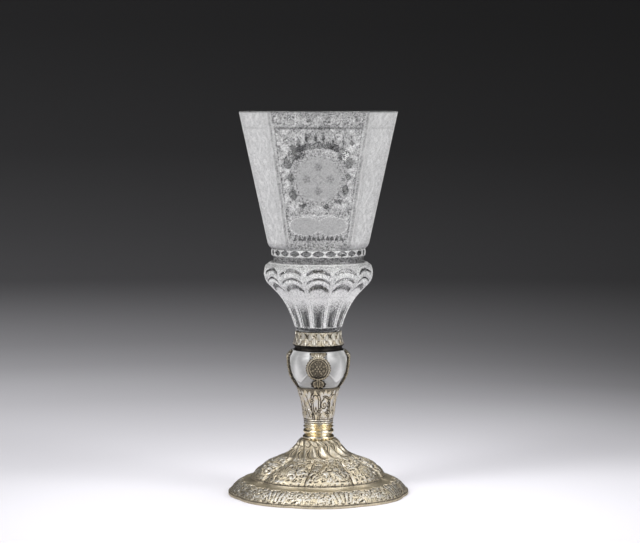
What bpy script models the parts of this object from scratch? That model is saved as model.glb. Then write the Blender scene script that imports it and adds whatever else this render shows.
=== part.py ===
"""Standing cup of cut glass on a silver-gilt stem and foot.

Metres, +Z up. The origin is on the table, under the middle of the foot, and the cup's broad
front facet looks along -Y. Each size is named once below, from the table up. Every piece
starts where the one under it ends, plus the seat gap, so a changed size moves what it carries.
"""
import math

import bpy

mm = 0.001
deg = math.pi / 180

# Fit between two pieces that touch
SEAT_GAP = 0.3 * mm

# Foot: sheet metal raised into a bell, a ring of domed lobes, a cove and a sloping flange
FOOT_TOP_RADIUS = 11.3 * mm
BELL_WIDTH = 10.2 * mm
BELL_RISE = 10.0 * mm
DOME_WIDTH = 20.8 * mm
DOME_RISE = 13.8 * mm
COVE_WIDTH = 4.2 * mm
COVE_RISE = 1.3 * mm
FLANGE_WIDTH = 10.1 * mm
FLANGE_RISE = 7.1 * mm
RIM_HEIGHT = 1.8 * mm
STANDING_WIDTH = 2.6 * mm
FOOT_SHEET = 1.2 * mm
FOOT_LOBES = 8
LOBE_TWIST = 5.6 * deg
LOBE_SWIRL = 9.0 * deg
VALLEY_DEPTH = 3.2 * mm
VALLEY_NOTCH = 2.4 * mm
RIM_SCALLOP = 1.5 * mm
GADROONS = 16
GADROON_SWIRL = 24.0 * deg
GADROON_DEPTH = 0.55 * mm

# Turned rings between the foot and the calyx
RING_CORE_RADIUS = 8.8 * mm
TORUS_HEIGHT = 2.9 * mm
TORUS_BULGE = 1.1 * mm
BEAD_HEIGHT = 2.9 * mm
BEAD_BULGE = 0.8 * mm
THIN_RING_HEIGHT = 1.2 * mm
THIN_RING_BULGE = 0.7 * mm
LIP_HEIGHT = 1.3 * mm
LIP_BULGE = 0.5 * mm
RING_GROOVE = 0.8 * mm

# Calyx: the chased sleeve under the knop
CALYX_HEIGHT = 21.7 * mm
CALYX_BASE_RADIUS = 9.2 * mm
CALYX_TOP_RADIUS = 13.4 * mm
CALYX_LEAVES = 8
CALYX_RELIEF = 0.45 * mm

# Knop: clear glass, four lobes between the straps
KNOP_HEIGHT = 23.0 * mm
KNOP_BASE_RADIUS = 12.0 * mm
KNOP_RADIUS = 18.4 * mm
KNOP_TOP_RADIUS = 16.4 * mm
KNOP_WIDEST = 17.3 * mm
LOBE_RISE = 1.5 * mm

# Straps over the knop
STRAP_THICKNESS = 0.9 * mm
STRAP_TOP_HALF_WIDTH = 5.2 * mm
STRAP_WAIST_HALF_WIDTH = 2.4 * mm
MEDALLION_HALF_WIDTH = 7.3 * mm
MEDALLION_HALF_HEIGHT = 7.6 * mm
MEDALLION_DROP = 9.8 * mm
MEDALLION_RELIEF = 0.8 * mm
LEAF_HALF_WIDTH = 4.4 * mm
LEAF_HALF_HEIGHT = 3.0 * mm

# Seat ring and collar
SEAT_RING_HEIGHT = 3.1 * mm
SEAT_RING_RADIUS = 16.0 * mm
COLLAR_HEIGHT = 8.2 * mm
COLLAR_TOP_RADIUS = 14.2 * mm
COLLAR_SETBACK = 0.3 * mm
COLLAR_LEAVES = 18
COLLAR_RELIEF = 0.5 * mm
TENON_LENGTH = 5.0 * mm
TENON_RADIUS = 11.0 * mm

# Cup: fluted flare, scale-cut shoulder, groove, cut ring and faceted bowl
FLUTES = 12
NECK_RADIUS = 13.8 * mm
NECK_BAND = 2.9 * mm
FLARE_HEIGHT = 37.0 * mm
SHOULDER_RADIUS = 33.7 * mm
SHOULDER_RISE = 5.8 * mm
SHOULDER_EDGE_RADIUS = 30.8 * mm
FLUTE_DEPTH = 1.0 * mm
ARCH_LEDGE = 0.8 * mm
GROOVE_HEIGHT = 4.6 * mm
GROOVE_DEPTH = 1.6 * mm
CUT_RING_HEIGHT = 5.0 * mm
CUT_RING_RADIUS = 29.6 * mm
LOZENGE_DEPTH = 0.5 * mm
BOWL_BASE_HEIGHT = 3.2 * mm
BOWL_HEIGHT = 81.2 * mm
BOWL_BASE_HALF_WIDTH = 31.4 * mm
RIM_HALF_WIDTH = 48.8 * mm
RIM_WALL = 3.3 * mm
BASE_WALL = 4.4 * mm
RIM_ROUNDING = 0.7 * mm
CAVITY_DEPTH = 33.3 * mm
FRONT_EDGE = 36.6 * deg
SIDE_EDGE = 67.9 * deg

# Shape of free curves, as shares of their own width and height
FLARE_HANDLES = ((0.412, 0.808), (1.0, 0.703))
BELL_HANDLES = ((0.12, 0.25), (0.51, 0.75))
DOME_HANDLES = ((0.26, 0.27), (0.70, 0.22))
INNER_OVAL_POWER = 2.6
CAVITY_POWER = 1.3

# Columns of vertices round each piece
CUP_COLUMNS = 4 * FLUTES
FOOT_COLUMNS = 8 * FOOT_LOBES
UNDERSIDE_COLUMNS = FOOT_COLUMNS // 2
RING_COLUMNS = 32
KNOP_COLUMNS = 32
CALYX_COLUMNS = 4 * CALYX_LEAVES
COLLAR_COLUMNS = 2 * COLLAR_LEAVES


def on_axis_turn(turn, radius, height):
    """Point at a turn about +Z, counted from the front (-Y) towards the right (+X)."""
    return (radius * math.sin(turn), -radius * math.cos(turn), height)


def turns(columns):
    return [2 * math.pi * column / columns for column in range(columns)]


def ring(columns, radius, height):
    """Plain round row of points."""
    return [on_axis_turn(turn, radius, height) for turn in turns(columns)]


def pole(height):
    return [(0.0, 0.0, height)]


def sawtooth(turn, count, offset=0.0):
    """Place inside one of count equal sectors: -1 and 1 at its sides, 0 in its middle."""
    sector = 2 * math.pi / count
    return 2 * ((turn - offset + sector / 2) % sector) / sector - 1


def curve_point(start, end, handles, share):
    """Point of a cubic curve whose handles are shares of the way from start to end."""
    corners = [(0.0, 0.0), *handles, (1.0, 1.0)]
    weights = [(1 - share) ** 3, 3 * (1 - share) ** 2 * share, 3 * (1 - share) * share ** 2, share ** 3]
    across = sum(weight * corner[0] for weight, corner in zip(weights, corners))
    along = sum(weight * corner[1] for weight, corner in zip(weights, corners))
    return start[0] + across * (end[0] - start[0]), start[1] + along * (end[1] - start[1])


def curve_radius(start, end, handles, height):
    """Radius of such a curve, in (radius, height), where it passes a height."""
    low, high = 0.0, 1.0
    for _ in range(40):
        middle = (low + high) / 2
        if curve_point(start, end, handles, middle)[1] < height:
            low = middle
        else:
            high = middle
    return curve_point(start, end, handles, low)[0]


def join_rows(lower, upper):
    """Faces between two closed rows of vertex numbers. Either may be a pole, or the upper twice as fine."""
    if len(lower) == 1:
        count = len(upper)
        return [(lower[0], upper[(i + 1) % count], upper[i]) for i in range(count)]
    if len(upper) == 1:
        count = len(lower)
        return [(lower[i], lower[(i + 1) % count], upper[0]) for i in range(count)]
    if len(upper) == 2 * len(lower):
        faces = []
        for i, point in enumerate(lower):
            following = lower[(i + 1) % len(lower)]
            first, middle, last = upper[2 * i], upper[2 * i + 1], upper[(2 * i + 2) % len(upper)]
            faces += [(point, middle, first), (point, following, middle), (following, last, middle)]
        return faces
    count = len(lower)
    return [(lower[i], lower[(i + 1) % count], upper[(i + 1) % count], upper[i]) for i in range(count)]


def make_object(name, vertices, faces, finish):
    """Object with its own mesh and material, smooth but for its real edges."""
    mesh = bpy.data.meshes.new(name)
    mesh.from_pydata(vertices, [], faces)
    mesh.validate()
    mesh.shade_smooth()
    mesh.set_sharp_from_angle(angle=32 * deg)
    mesh.materials.append(make_material(name, *finish))
    piece = bpy.data.objects.new(name, mesh)
    bpy.context.scene.collection.objects.link(piece)
    return piece


def make_material(name, colour, roughness, metallic, transmission=0.0):
    material = bpy.data.materials.new(name)
    material.use_nodes = True
    shader = material.node_tree.nodes["Principled BSDF"]
    shader.inputs["Base Color"].default_value = (*colour, 1.0)
    shader.inputs["Roughness"].default_value = roughness
    shader.inputs["Metallic"].default_value = metallic
    shader.inputs["Transmission Weight"].default_value = transmission
    return material


CLEAR_GLASS = ((0.93, 0.95, 0.95), 0.05, 0.0, 0.9)
ENGRAVED_GLASS = ((0.82, 0.83, 0.82), 0.25, 0.0, 0.6)
PALE_GILT = ((0.80, 0.68, 0.42), 0.30, 1.0)
WORN_GILT = ((0.68, 0.60, 0.42), 0.36, 1.0)
DARK_SILVER = ((0.05, 0.045, 0.04), 0.45, 1.0)


def make_turned(name, rows, finish):
    """Closed body from rows listed up its outside, and down its inside where it is hollow."""
    vertices = []
    numbered = []
    for row in rows:
        numbered.append(range(len(vertices), len(vertices) + len(row)))
        vertices += row
    faces = []
    for lower, upper in zip(numbered, numbered[1:]):
        faces += join_rows(lower, upper)
    return make_object(name, vertices, faces, finish)


# Heights of the stack, and the radii that two pieces share

RIM_TOP = RIM_HEIGHT
FLANGE_TOP = RIM_TOP + FLANGE_RISE
DOME_BASE = FLANGE_TOP + COVE_RISE
DOME_TOP = DOME_BASE + DOME_RISE
FOOT_TOP = DOME_TOP + BELL_RISE

COLLAR_BASE_RADIUS = SEAT_RING_RADIUS - COLLAR_SETBACK

BELL_RADIUS = FOOT_TOP_RADIUS + BELL_WIDTH
DOME_RADIUS = BELL_RADIUS + DOME_WIDTH
COVE_RADIUS = DOME_RADIUS + COVE_WIDTH
FOOT_RADIUS = COVE_RADIUS + FLANGE_WIDTH

RINGS_BASE = FOOT_TOP + SEAT_GAP
RINGS_TOP = (RINGS_BASE + TORUS_HEIGHT + BEAD_HEIGHT + THIN_RING_HEIGHT + LIP_HEIGHT
             + 3 * RING_GROOVE)
CALYX_BASE = RINGS_TOP + SEAT_GAP
CALYX_TOP = CALYX_BASE + CALYX_HEIGHT
KNOP_BASE = CALYX_TOP + SEAT_GAP
KNOP_TOP = KNOP_BASE + KNOP_HEIGHT
SEAT_BASE = KNOP_TOP + SEAT_GAP
SEAT_TOP = SEAT_BASE + SEAT_RING_HEIGHT
COLLAR_BASE = SEAT_TOP + SEAT_GAP
COLLAR_TOP = COLLAR_BASE + COLLAR_HEIGHT
NECK_BASE = COLLAR_TOP + SEAT_GAP
SHOULDER_HEIGHT = NECK_BASE + FLARE_HEIGHT
SHOULDER_TOP = SHOULDER_HEIGHT + SHOULDER_RISE
GROOVE_TOP = SHOULDER_TOP + GROOVE_HEIGHT
CUT_RING_TOP = GROOVE_TOP + CUT_RING_HEIGHT
BOWL_BASE = CUT_RING_TOP + BOWL_BASE_HEIGHT
CUP_TOP = BOWL_BASE + BOWL_HEIGHT


def foot_lobe(turn, radius):
    """How deep in the valley between two lobes a place is: 0 on a lobe, 1 in the valley."""
    inward = (FOOT_RADIUS - radius) / (FOOT_RADIUS - BELL_RADIUS)
    return abs(sawtooth(turn, FOOT_LOBES, LOBE_TWIST + LOBE_SWIRL * inward)) ** 2.5


def bell_point(turn, share, underside=False):
    """Bell of the foot, from its top at share 0 to the lobes at share 1, with swirled gadroons.

    Its underside is smooth, and as deep as the hollows between the gadroons.
    """
    radius, height = curve_point((FOOT_TOP_RADIUS, FOOT_TOP), (BELL_RADIUS, DOME_TOP), BELL_HANDLES, share)
    gadroon = -1.0 if underside else math.cos(GADROONS * (turn - GADROON_SWIRL * share))
    swell = GADROON_DEPTH * math.sin(math.pi * share) * gadroon
    return on_axis_turn(turn, radius + swell, height + swell)


def dome_point(turn, share):
    """Ring of domed lobes, from the bell at share 0 to the cove at share 1."""
    radius, height = curve_point((BELL_RADIUS, DOME_TOP), (DOME_RADIUS, DOME_BASE), DOME_HANDLES, share)
    valley = foot_lobe(turn, radius)
    drop = VALLEY_DEPTH * valley * math.sin(math.pi * share)
    notch = VALLEY_NOTCH * valley * share ** 2
    return on_axis_turn(turn, radius - notch, height - drop)


def cove_point(turn, share):
    """Smooth hollow that follows the lobes' lower edge."""
    radius = DOME_RADIUS + share * COVE_WIDTH
    notch = VALLEY_NOTCH * foot_lobe(turn, radius) * (1 - share)
    hollow = COVE_RISE * (1 - share) ** 2
    return on_axis_turn(turn, radius - notch, FLANGE_TOP + hollow)


def flange_point(turn, share):
    """Sloping flange, whose outline turns in a little between the lobes."""
    radius = COVE_RADIUS + share * FLANGE_WIDTH
    scallop = RIM_SCALLOP * foot_lobe(turn, radius) * share
    return on_axis_turn(turn, radius - scallop, RIM_TOP + FLANGE_RISE * (1 - share ** 2))


def rim_row(columns, inset, height):
    """Edge of the foot, set in from its scalloped outline."""
    return [on_axis_turn(turn, FOOT_RADIUS - RIM_SCALLOP * foot_lobe(turn, FOOT_RADIUS) - inset, height)
            for turn in turns(columns)]


def sunk(rows):
    """Rows of the underside: the rows listed down the foot, moved in by the sheet's thickness."""
    result = []
    for row, before, after in zip(rows[1:-1], rows, rows[2:]):
        moved = []
        for place, above, below in zip(row, before, after):
            radius = math.hypot(place[0], place[1])
            across = math.hypot(below[0], below[1]) - math.hypot(above[0], above[1])
            down = above[2] - below[2]
            slant = math.hypot(across, down)
            shrink = 1 - FOOT_SHEET * (down / slant) / radius
            moved.append((place[0] * shrink, place[1] * shrink, place[2] - FOOT_SHEET * across / slant))
        result.append(moved)
    return result


def make_foot():
    """Sheet-metal foot: down its hollow underside, out over the standing edge and up its outside."""
    around = turns(UNDERSIDE_COLUMNS)
    guide = [[bell_point(turn, share, True) for turn in around] for share in (0.05, 0.3, 0.65)]
    guide += [[dome_point(turn, share) for turn in around] for share in (0.05, 0.3, 0.55, 0.8, 1.0)]
    guide += [[flange_point(turn, share) for turn in around] for share in (0.1, 0.5, 0.75)]
    inside = sunk(guide)

    around = turns(FOOT_COLUMNS)
    outside = [[flange_point(turn, share) for turn in around] for share in (1.0, 0.7, 0.35)]
    outside += [[cove_point(turn, share) for turn in around] for share in (1.0, 0.4)]
    outside += [[dome_point(turn, share) for turn in around] for share in (1.0, 0.93, 0.8, 0.62, 0.42, 0.2, 0.0)]
    outside += [[bell_point(turn, share) for turn in around] for share in (0.8, 0.55, 0.3, 0.0)]

    rows = [pole(inside[0][0][2]), *inside, rim_row(UNDERSIDE_COLUMNS, STANDING_WIDTH, 0.0),
            rim_row(FOOT_COLUMNS, 0.0, 0.0), *outside, pole(FOOT_TOP)]
    return make_turned("foot", rows, PALE_GILT)


def bead_rows(columns, low, high, radius, bulge, steps=3):
    """Half-round moulding between two heights."""
    rows = []
    for step in range(steps + 1):
        share = step / steps
        swell = math.sin(math.pi * (0.12 + 0.76 * share))
        rows.append(ring(columns, radius + bulge * swell, low + share * (high - low)))
    return rows


def make_stem_rings():
    """Torus, bead, thin ring and lip, one over the other on a turned core."""
    rows = [pole(RINGS_BASE)]
    height = RINGS_BASE
    for tall, bulge, steps in ((TORUS_HEIGHT, TORUS_BULGE, 3), (BEAD_HEIGHT, BEAD_BULGE, 3),
                               (THIN_RING_HEIGHT, THIN_RING_BULGE, 1), (LIP_HEIGHT, LIP_BULGE, 1)):
        rows += bead_rows(RING_COLUMNS, height, height + tall, RING_CORE_RADIUS, bulge, steps)
        height += tall
        if height < RINGS_TOP - RING_GROOVE / 2:
            rows.append(ring(RING_COLUMNS, RING_CORE_RADIUS, height + RING_GROOVE / 2))
            height += RING_GROOVE
    rows.append(pole(RINGS_TOP))
    return make_turned("stem_rings", rows, PALE_GILT)


def calyx_radius(turn, share):
    """Sleeve that widens upwards like a bud, ribbed by leaves."""
    swell = 0.55 * share ** 2 + 0.45 * share ** 3 + 0.12 * math.sin(math.pi * share)
    plain = CALYX_BASE_RADIUS + (CALYX_TOP_RADIUS - CALYX_BASE_RADIUS) * swell
    leaf = math.cos(CALYX_LEAVES * turn) * math.sin(math.pi * share) ** 0.5
    return plain + CALYX_RELIEF * leaf


def make_calyx():
    rows = [pole(CALYX_BASE)]
    for share in (0.0, 0.12, 0.3, 0.48, 0.55, 0.7, 0.85, 1.0):
        rows.append([on_axis_turn(turn, calyx_radius(turn, share), CALYX_BASE + share * CALYX_HEIGHT)
                     for turn in turns(CALYX_COLUMNS)])
    rows.append(pole(CALYX_TOP))
    return make_turned("stem_calyx", rows, WORN_GILT)


def knop_profile(height):
    """Radius of the knop under the straps."""
    above = height - KNOP_BASE
    if above > KNOP_WIDEST:
        share = (above - KNOP_WIDEST) / (KNOP_HEIGHT - KNOP_WIDEST)
        return KNOP_RADIUS - (KNOP_RADIUS - KNOP_TOP_RADIUS) * share ** 2
    share = above / KNOP_WIDEST
    return KNOP_BASE_RADIUS + (KNOP_RADIUS - KNOP_BASE_RADIUS) * math.sin(math.pi / 2 * share ** 0.9)


def knop_radius(turn, height):
    """Knop with its four lobes, which stand between the straps."""
    share = (height - KNOP_BASE) / KNOP_HEIGHT
    lobe = (1 - math.cos(4 * turn)) / 2 * math.sin(math.pi * min(1.0, 0.1 + share)) ** 0.5
    return knop_profile(height) + LOBE_RISE * lobe


def make_knop():
    rows = [pole(KNOP_BASE)]
    for share in (0.0, 0.14, 0.28, 0.42, 0.56, 0.7, 0.84, 0.94, 1.0):
        height = KNOP_BASE + share * KNOP_HEIGHT
        rows.append([on_axis_turn(turn, knop_radius(turn, height), height) for turn in turns(KNOP_COLUMNS)])
    rows.append(pole(KNOP_TOP))
    return make_turned("glass_knop", rows, CLEAR_GLASS)


def oval(height, middle, half_height, half_width):
    """Half-width of an oval at a height, 0 outside it."""
    inside = 1 - ((height - middle) / half_height) ** 2
    return half_width * math.sqrt(max(0.0, inside))


def strap_half_width(height):
    """Outline of a strap: spreading top, oval medallion, waist and leaf."""
    medallion = oval(height, KNOP_TOP - MEDALLION_DROP, MEDALLION_HALF_HEIGHT, MEDALLION_HALF_WIDTH)
    leaf = oval(height, KNOP_BASE + LEAF_HALF_HEIGHT, LEAF_HALF_HEIGHT, LEAF_HALF_WIDTH)
    top = oval(height, KNOP_TOP, MEDALLION_HALF_HEIGHT / 2, STRAP_TOP_HALF_WIDTH)
    return max(STRAP_WAIST_HALF_WIDTH, medallion, leaf, top)


def strap_relief(height, across):
    """How far the face stands over the strap's edge; across runs from -1 to 1."""
    oval_share = oval(height, KNOP_TOP - MEDALLION_DROP, MEDALLION_HALF_HEIGHT, 1.0)
    return MEDALLION_RELIEF * (0.35 + 0.65 * oval_share) * (1 - across ** 2)


def make_strap(name, facing):
    """Strap that lies on the knop with the seat gap under it, from calyx to seat ring."""
    vertices = []
    shares = (0.0, 0.07, 0.14, 0.22, 0.3, 0.38, 0.46, 0.57, 0.68, 0.78, 0.87, 0.94, 1.0)
    places = (-1.0, -0.5, 0.0, 0.5, 1.0)
    for share in shares:
        height = KNOP_BASE + share * KNOP_HEIGHT
        half_turn = strap_half_width(height) / knop_profile(height)
        for front in (False, True):
            for place in (places if not front else reversed(places)):
                turn = facing + half_turn * place
                radius = knop_radius(turn, height) + SEAT_GAP
                if front:
                    radius += STRAP_THICKNESS + strap_relief(height, place)
                vertices.append(on_axis_turn(turn, radius, height))
    loop = 2 * len(places)
    faces = [tuple(range(loop)), tuple(reversed(range(len(vertices) - loop, len(vertices))))]
    for level in range(len(shares) - 1):
        for i in range(loop):
            low, low_next = level * loop + i, level * loop + (i + 1) % loop
            faces.append((low, low + loop, low_next + loop, low_next))
    return make_object(name, vertices, faces, WORN_GILT)


def make_seat_ring():
    rows = [pole(SEAT_BASE), ring(RING_COLUMNS, SEAT_RING_RADIUS, SEAT_BASE),
            ring(RING_COLUMNS, SEAT_RING_RADIUS - 0.25 * SEAT_RING_HEIGHT, SEAT_TOP - 0.4 * SEAT_RING_HEIGHT),
            ring(RING_COLUMNS, SEAT_RING_RADIUS - 0.1 * SEAT_RING_HEIGHT, SEAT_TOP), pole(SEAT_TOP)]
    return make_turned("seat_ring", rows, DARK_SILVER)


def collar_row(share):
    """Row of pointed leaves round the collar."""
    plain = COLLAR_BASE_RADIUS + share * (COLLAR_TOP_RADIUS - COLLAR_BASE_RADIUS)
    depth = COLLAR_RELIEF * math.sin(math.pi * share)
    return [on_axis_turn(turn, plain + depth * (-1) ** column, COLLAR_BASE + share * COLLAR_HEIGHT)
            for column, turn in enumerate(turns(COLLAR_COLUMNS))]


def make_collar():
    """Leafy collar with a round socket that takes the end of the glass neck."""
    socket_radius = TENON_RADIUS + SEAT_GAP
    socket_floor = NECK_BASE - TENON_LENGTH - SEAT_GAP
    rows = [pole(COLLAR_BASE), *[collar_row(share) for share in (0.0, 0.15, 0.4, 0.7, 1.0)],
            ring(COLLAR_COLUMNS, socket_radius, COLLAR_TOP), ring(COLLAR_COLUMNS, socket_radius, socket_floor),
            pole(socket_floor)]
    return make_turned("neck_collar", rows, WORN_GILT)


def flare_half_width(height):
    """Half-width of the cup's lower part, from the neck to the edge over the shoulder."""
    if height > SHOULDER_HEIGHT:
        share = min(1.0, (height - SHOULDER_HEIGHT) / SHOULDER_RISE)
        reach = SHOULDER_RADIUS - SHOULDER_EDGE_RADIUS
        return SHOULDER_EDGE_RADIUS + reach * math.sqrt(1 - share ** 2)
    return curve_radius((NECK_RADIUS, NECK_BASE), (SHOULDER_RADIUS, SHOULDER_HEIGHT), FLARE_HANDLES, height)


def fluted_row(rise, arch, scoop):
    """Row of the fluted flare at a rise over the neck, lifted by arch in the middle of each flute.

    The half-width is what shows with a flute facing the eye, so the ridges stand further out.
    """
    row = []
    for turn in turns(CUP_COLUMNS):
        across = sawtooth(turn, FLUTES)
        hollow = 1 - across ** 2
        height = NECK_BASE + rise * FLARE_HEIGHT + arch * FLARE_HEIGHT * hollow
        chord = flare_half_width(height) / math.cos(across * math.pi / FLUTES)
        row.append(on_axis_turn(turn, chord - scoop * hollow, height))
    return row


def bowl_turn(turn):
    """Turns a column so that the facets' edges fall on columns."""
    quarter = math.pi / 2
    side, inside = divmod(turn, quarter)
    mirrored = side % 2 == 1
    share = inside / quarter
    if mirrored:
        share = 1 - share
    stops = ((0.0, 0.0), (5 / 12, FRONT_EDGE), (9 / 12, SIDE_EDGE), (1.0, quarter))
    for (low, low_turn), (high, high_turn) in zip(stops, stops[1:]):
        if share <= high:
            turned = low_turn + (high_turn - low_turn) * (share - low) / (high - low)
            break
    if mirrored:
        turned = quarter - turned
    return side * quarter + turned


def folded(turn):
    """The same place in the first quarter, between the front and the right side."""
    inside = turn % math.pi
    return min(inside, math.pi - inside)


def facet_share(turn):
    """Radius of the faceted outline, as a share of the radius at its corners."""
    place = folded(turn)
    for low, high in ((-FRONT_EDGE, FRONT_EDGE), (FRONT_EDGE, SIDE_EDGE), (SIDE_EDGE, math.pi - SIDE_EDGE)):
        if place <= high:
            half = (high - low) / 2
            return math.cos(half) / math.cos(place - low - half)
    return 1.0


def bowl_row(half_width, height, roundness=0.0):
    """Row of the bowl's outside: faceted, or part way to round."""
    row = []
    for column in turns(CUP_COLUMNS):
        turn = bowl_turn(column) * (1 - roundness) + column * roundness
        faceted = half_width * facet_share(turn) / math.cos(math.pi / 2 - SIDE_EDGE)
        row.append(on_axis_turn(turn, faceted * (1 - roundness) + half_width * roundness, height))
    return row


def inner_row(side, front, height):
    """Row of the oval inside, between a round and a square outline."""
    row = []
    for turn in turns(CUP_COLUMNS):
        across = abs(math.sin(turn) / side) ** INNER_OVAL_POWER
        along = abs(math.cos(turn) / front) ** INNER_OVAL_POWER
        row.append(on_axis_turn(turn, (across + along) ** (-1 / INNER_OVAL_POWER), height))
    return row


def lozenge_row(height):
    """Row of small points cut round the ring, two columns to each."""
    return [on_axis_turn(turn, CUT_RING_RADIUS - LOZENGE_DEPTH * (column % 2), height)
            for column, turn in enumerate(turns(CUP_COLUMNS))]


def make_cup():
    tenon_base = NECK_BASE - TENON_LENGTH
    band = NECK_BAND / FLARE_HEIGHT
    ledge = 0.008
    rows = [pole(tenon_base), ring(CUP_COLUMNS, TENON_RADIUS, tenon_base), ring(CUP_COLUMNS, TENON_RADIUS, NECK_BASE),
            ring(CUP_COLUMNS, NECK_RADIUS, NECK_BASE), fluted_row(band, 0.0, 0.0)]
    rows += [fluted_row(rise, arch, FLUTE_DEPTH)
             for rise, arch in ((band + 0.03, 0.0), (0.3, 0.0), (0.48, 0.0), (0.62, 0.03))]
    for rise, arch in ((0.725, 0.14), (0.86, 0.1)):
        rows += [fluted_row(rise, arch, ARCH_LEDGE), fluted_row(rise + ledge, arch, 0.0)]
    rows += [fluted_row(1.02, 0.09, ARCH_LEDGE), fluted_row(1.02 + ledge, 0.09, 0.0)]
    groove_radius = CUT_RING_RADIUS - GROOVE_DEPTH
    rows += [ring(CUP_COLUMNS, SHOULDER_EDGE_RADIUS, SHOULDER_TOP),
             ring(CUP_COLUMNS, groove_radius, SHOULDER_TOP), ring(CUP_COLUMNS, groove_radius, GROOVE_TOP),
             ring(CUP_COLUMNS, CUT_RING_RADIUS - LOZENGE_DEPTH, GROOVE_TOP),
             lozenge_row(GROOVE_TOP + CUT_RING_HEIGHT / 2),
             ring(CUP_COLUMNS, CUT_RING_RADIUS - LOZENGE_DEPTH, CUT_RING_TOP)]
    overhang = BOWL_BASE_HALF_WIDTH - CUT_RING_RADIUS
    for share in (0.25, 0.65, 1.0):
        reach = CUT_RING_RADIUS + overhang * math.sqrt(1 - (1 - share) ** 2)
        rows.append(bowl_row(reach, CUT_RING_TOP + share * BOWL_BASE_HEIGHT, 1 - share ** 0.5))
    slope = (RIM_HALF_WIDTH - BOWL_BASE_HALF_WIDTH) / BOWL_HEIGHT
    rows += [bowl_row(RIM_HALF_WIDTH - slope * RIM_ROUNDING, CUP_TOP - RIM_ROUNDING),
             bowl_row(RIM_HALF_WIDTH - RIM_ROUNDING, CUP_TOP)]

    front_share = math.cos(FRONT_EDGE) / math.cos(math.pi / 2 - SIDE_EDGE)
    rim_side, rim_front = RIM_HALF_WIDTH - RIM_WALL, RIM_HALF_WIDTH * front_share - RIM_WALL
    side, front = BOWL_BASE_HALF_WIDTH - BASE_WALL, BOWL_BASE_HALF_WIDTH * front_share - BASE_WALL
    rows += [inner_row(rim_side + RIM_ROUNDING / 2, rim_front + RIM_ROUNDING / 2, CUP_TOP),
             inner_row(rim_side, rim_front, CUP_TOP - RIM_ROUNDING), inner_row(side, front, BOWL_BASE)]
    for share in (0.3, 0.52, 0.72, 0.87, 0.97):
        narrow = math.sqrt(1 - share ** CAVITY_POWER)
        rows.append(inner_row(side * narrow, front * narrow, BOWL_BASE - share * CAVITY_DEPTH))
    rows.append(pole(BOWL_BASE - CAVITY_DEPTH))
    return make_turned("glass_cup", rows, ENGRAVED_GLASS)


def clear_scene():
    for thing in list(bpy.data.objects):
        bpy.data.objects.remove(thing, do_unlink=True)


clear_scene()
make_foot()
make_stem_rings()
make_calyx()
make_knop()
for strap_name, quarter_turns in (("strap_front", 0), ("strap_right", 1), ("strap_back", 2), ("strap_left", 3)):
    make_strap(strap_name, quarter_turns * math.pi / 2)
make_seat_ring()
make_collar()
make_cup()
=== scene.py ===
# %% [markdown]
# # A cut and engraved glass cup on silver-gilt mounts
# The imported model is loaded first. It is the cup at its real size, in metres, with +Z up, and every
# finished piece below takes its place from it.

# %% Load the frame
import math

import bpy
import numpy as np
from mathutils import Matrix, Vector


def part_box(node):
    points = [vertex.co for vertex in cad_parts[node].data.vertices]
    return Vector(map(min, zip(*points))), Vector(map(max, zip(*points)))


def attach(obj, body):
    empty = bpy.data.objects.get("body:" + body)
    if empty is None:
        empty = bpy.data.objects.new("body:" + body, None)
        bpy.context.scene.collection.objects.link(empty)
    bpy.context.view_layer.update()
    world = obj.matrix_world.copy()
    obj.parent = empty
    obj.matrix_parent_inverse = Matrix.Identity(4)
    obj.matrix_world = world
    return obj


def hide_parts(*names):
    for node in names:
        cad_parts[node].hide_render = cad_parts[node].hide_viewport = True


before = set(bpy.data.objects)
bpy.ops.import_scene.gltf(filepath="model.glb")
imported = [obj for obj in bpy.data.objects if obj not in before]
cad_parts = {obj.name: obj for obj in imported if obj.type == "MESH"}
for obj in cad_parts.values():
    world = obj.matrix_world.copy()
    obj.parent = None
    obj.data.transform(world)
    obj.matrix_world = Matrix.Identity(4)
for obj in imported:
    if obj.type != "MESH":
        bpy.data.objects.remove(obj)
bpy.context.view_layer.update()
mm = 0.001
deg = math.pi / 180
print("pieces in the frame:", sorted(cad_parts))

# %% [markdown]
# ## Points that turn about the axis
# Nearly every piece of a cup is turned about one axis, even where it is carved afterwards. So a piece is
# described by rows of points: each row goes once round the axis, and the rows follow the outline. A turn
# of 0 looks at the viewer, along -Y, and grows to the right. Working on whole arrays keeps a carved piece
# of a hundred thousand faces quick to make.


# %% Rows round the axis
def turns(columns):
    return np.arange(columns) * 2 * math.pi / columns


def place(turn, radius, height):
    """Points at turns, radii and heights, which may be arrays of one shape."""
    turn, radius, height = np.broadcast_arrays(turn, radius, height)
    return np.stack([radius * np.sin(turn), -radius * np.cos(turn), height], axis=-1)


def sawtooth(turn, count, offset=0.0):
    """Place inside one of count equal sectors: -1 and 1 at its sides, 0 in its middle."""
    sector = 2 * math.pi / count
    return 2 * np.mod(turn - offset + sector / 2, sector) / sector - 1


def cubic(share, start, end, handles):
    """Point of a cubic curve whose handles are shares of the way from start to end."""
    (ax, ay), (bx, by) = handles
    first = 3 * (1 - share) ** 2 * share
    second = 3 * (1 - share) * share ** 2
    across = first * ax + second * bx + share ** 3
    along = first * ay + second * by + share ** 3
    return start[0] + across * (end[0] - start[0]), start[1] + along * (end[1] - start[1])


def smooth_step(value, low, high):
    """0 at low and 1 at high, with a soft rise between."""
    share = np.clip((value - low) / (high - low), 0.0, 1.0)
    return share * share * (3 - 2 * share)


def hump(value, middle, width):
    """1 where the value is at the middle, falling softly to 0 on both sides."""
    return np.exp(-((value - middle) / width) ** 2)


# %% A skin over rows
def new_object(name, data):
    """Object in the scene that shows the data."""
    made = bpy.data.objects.new(name, data)
    bpy.context.scene.collection.objects.link(made)
    return made


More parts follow.
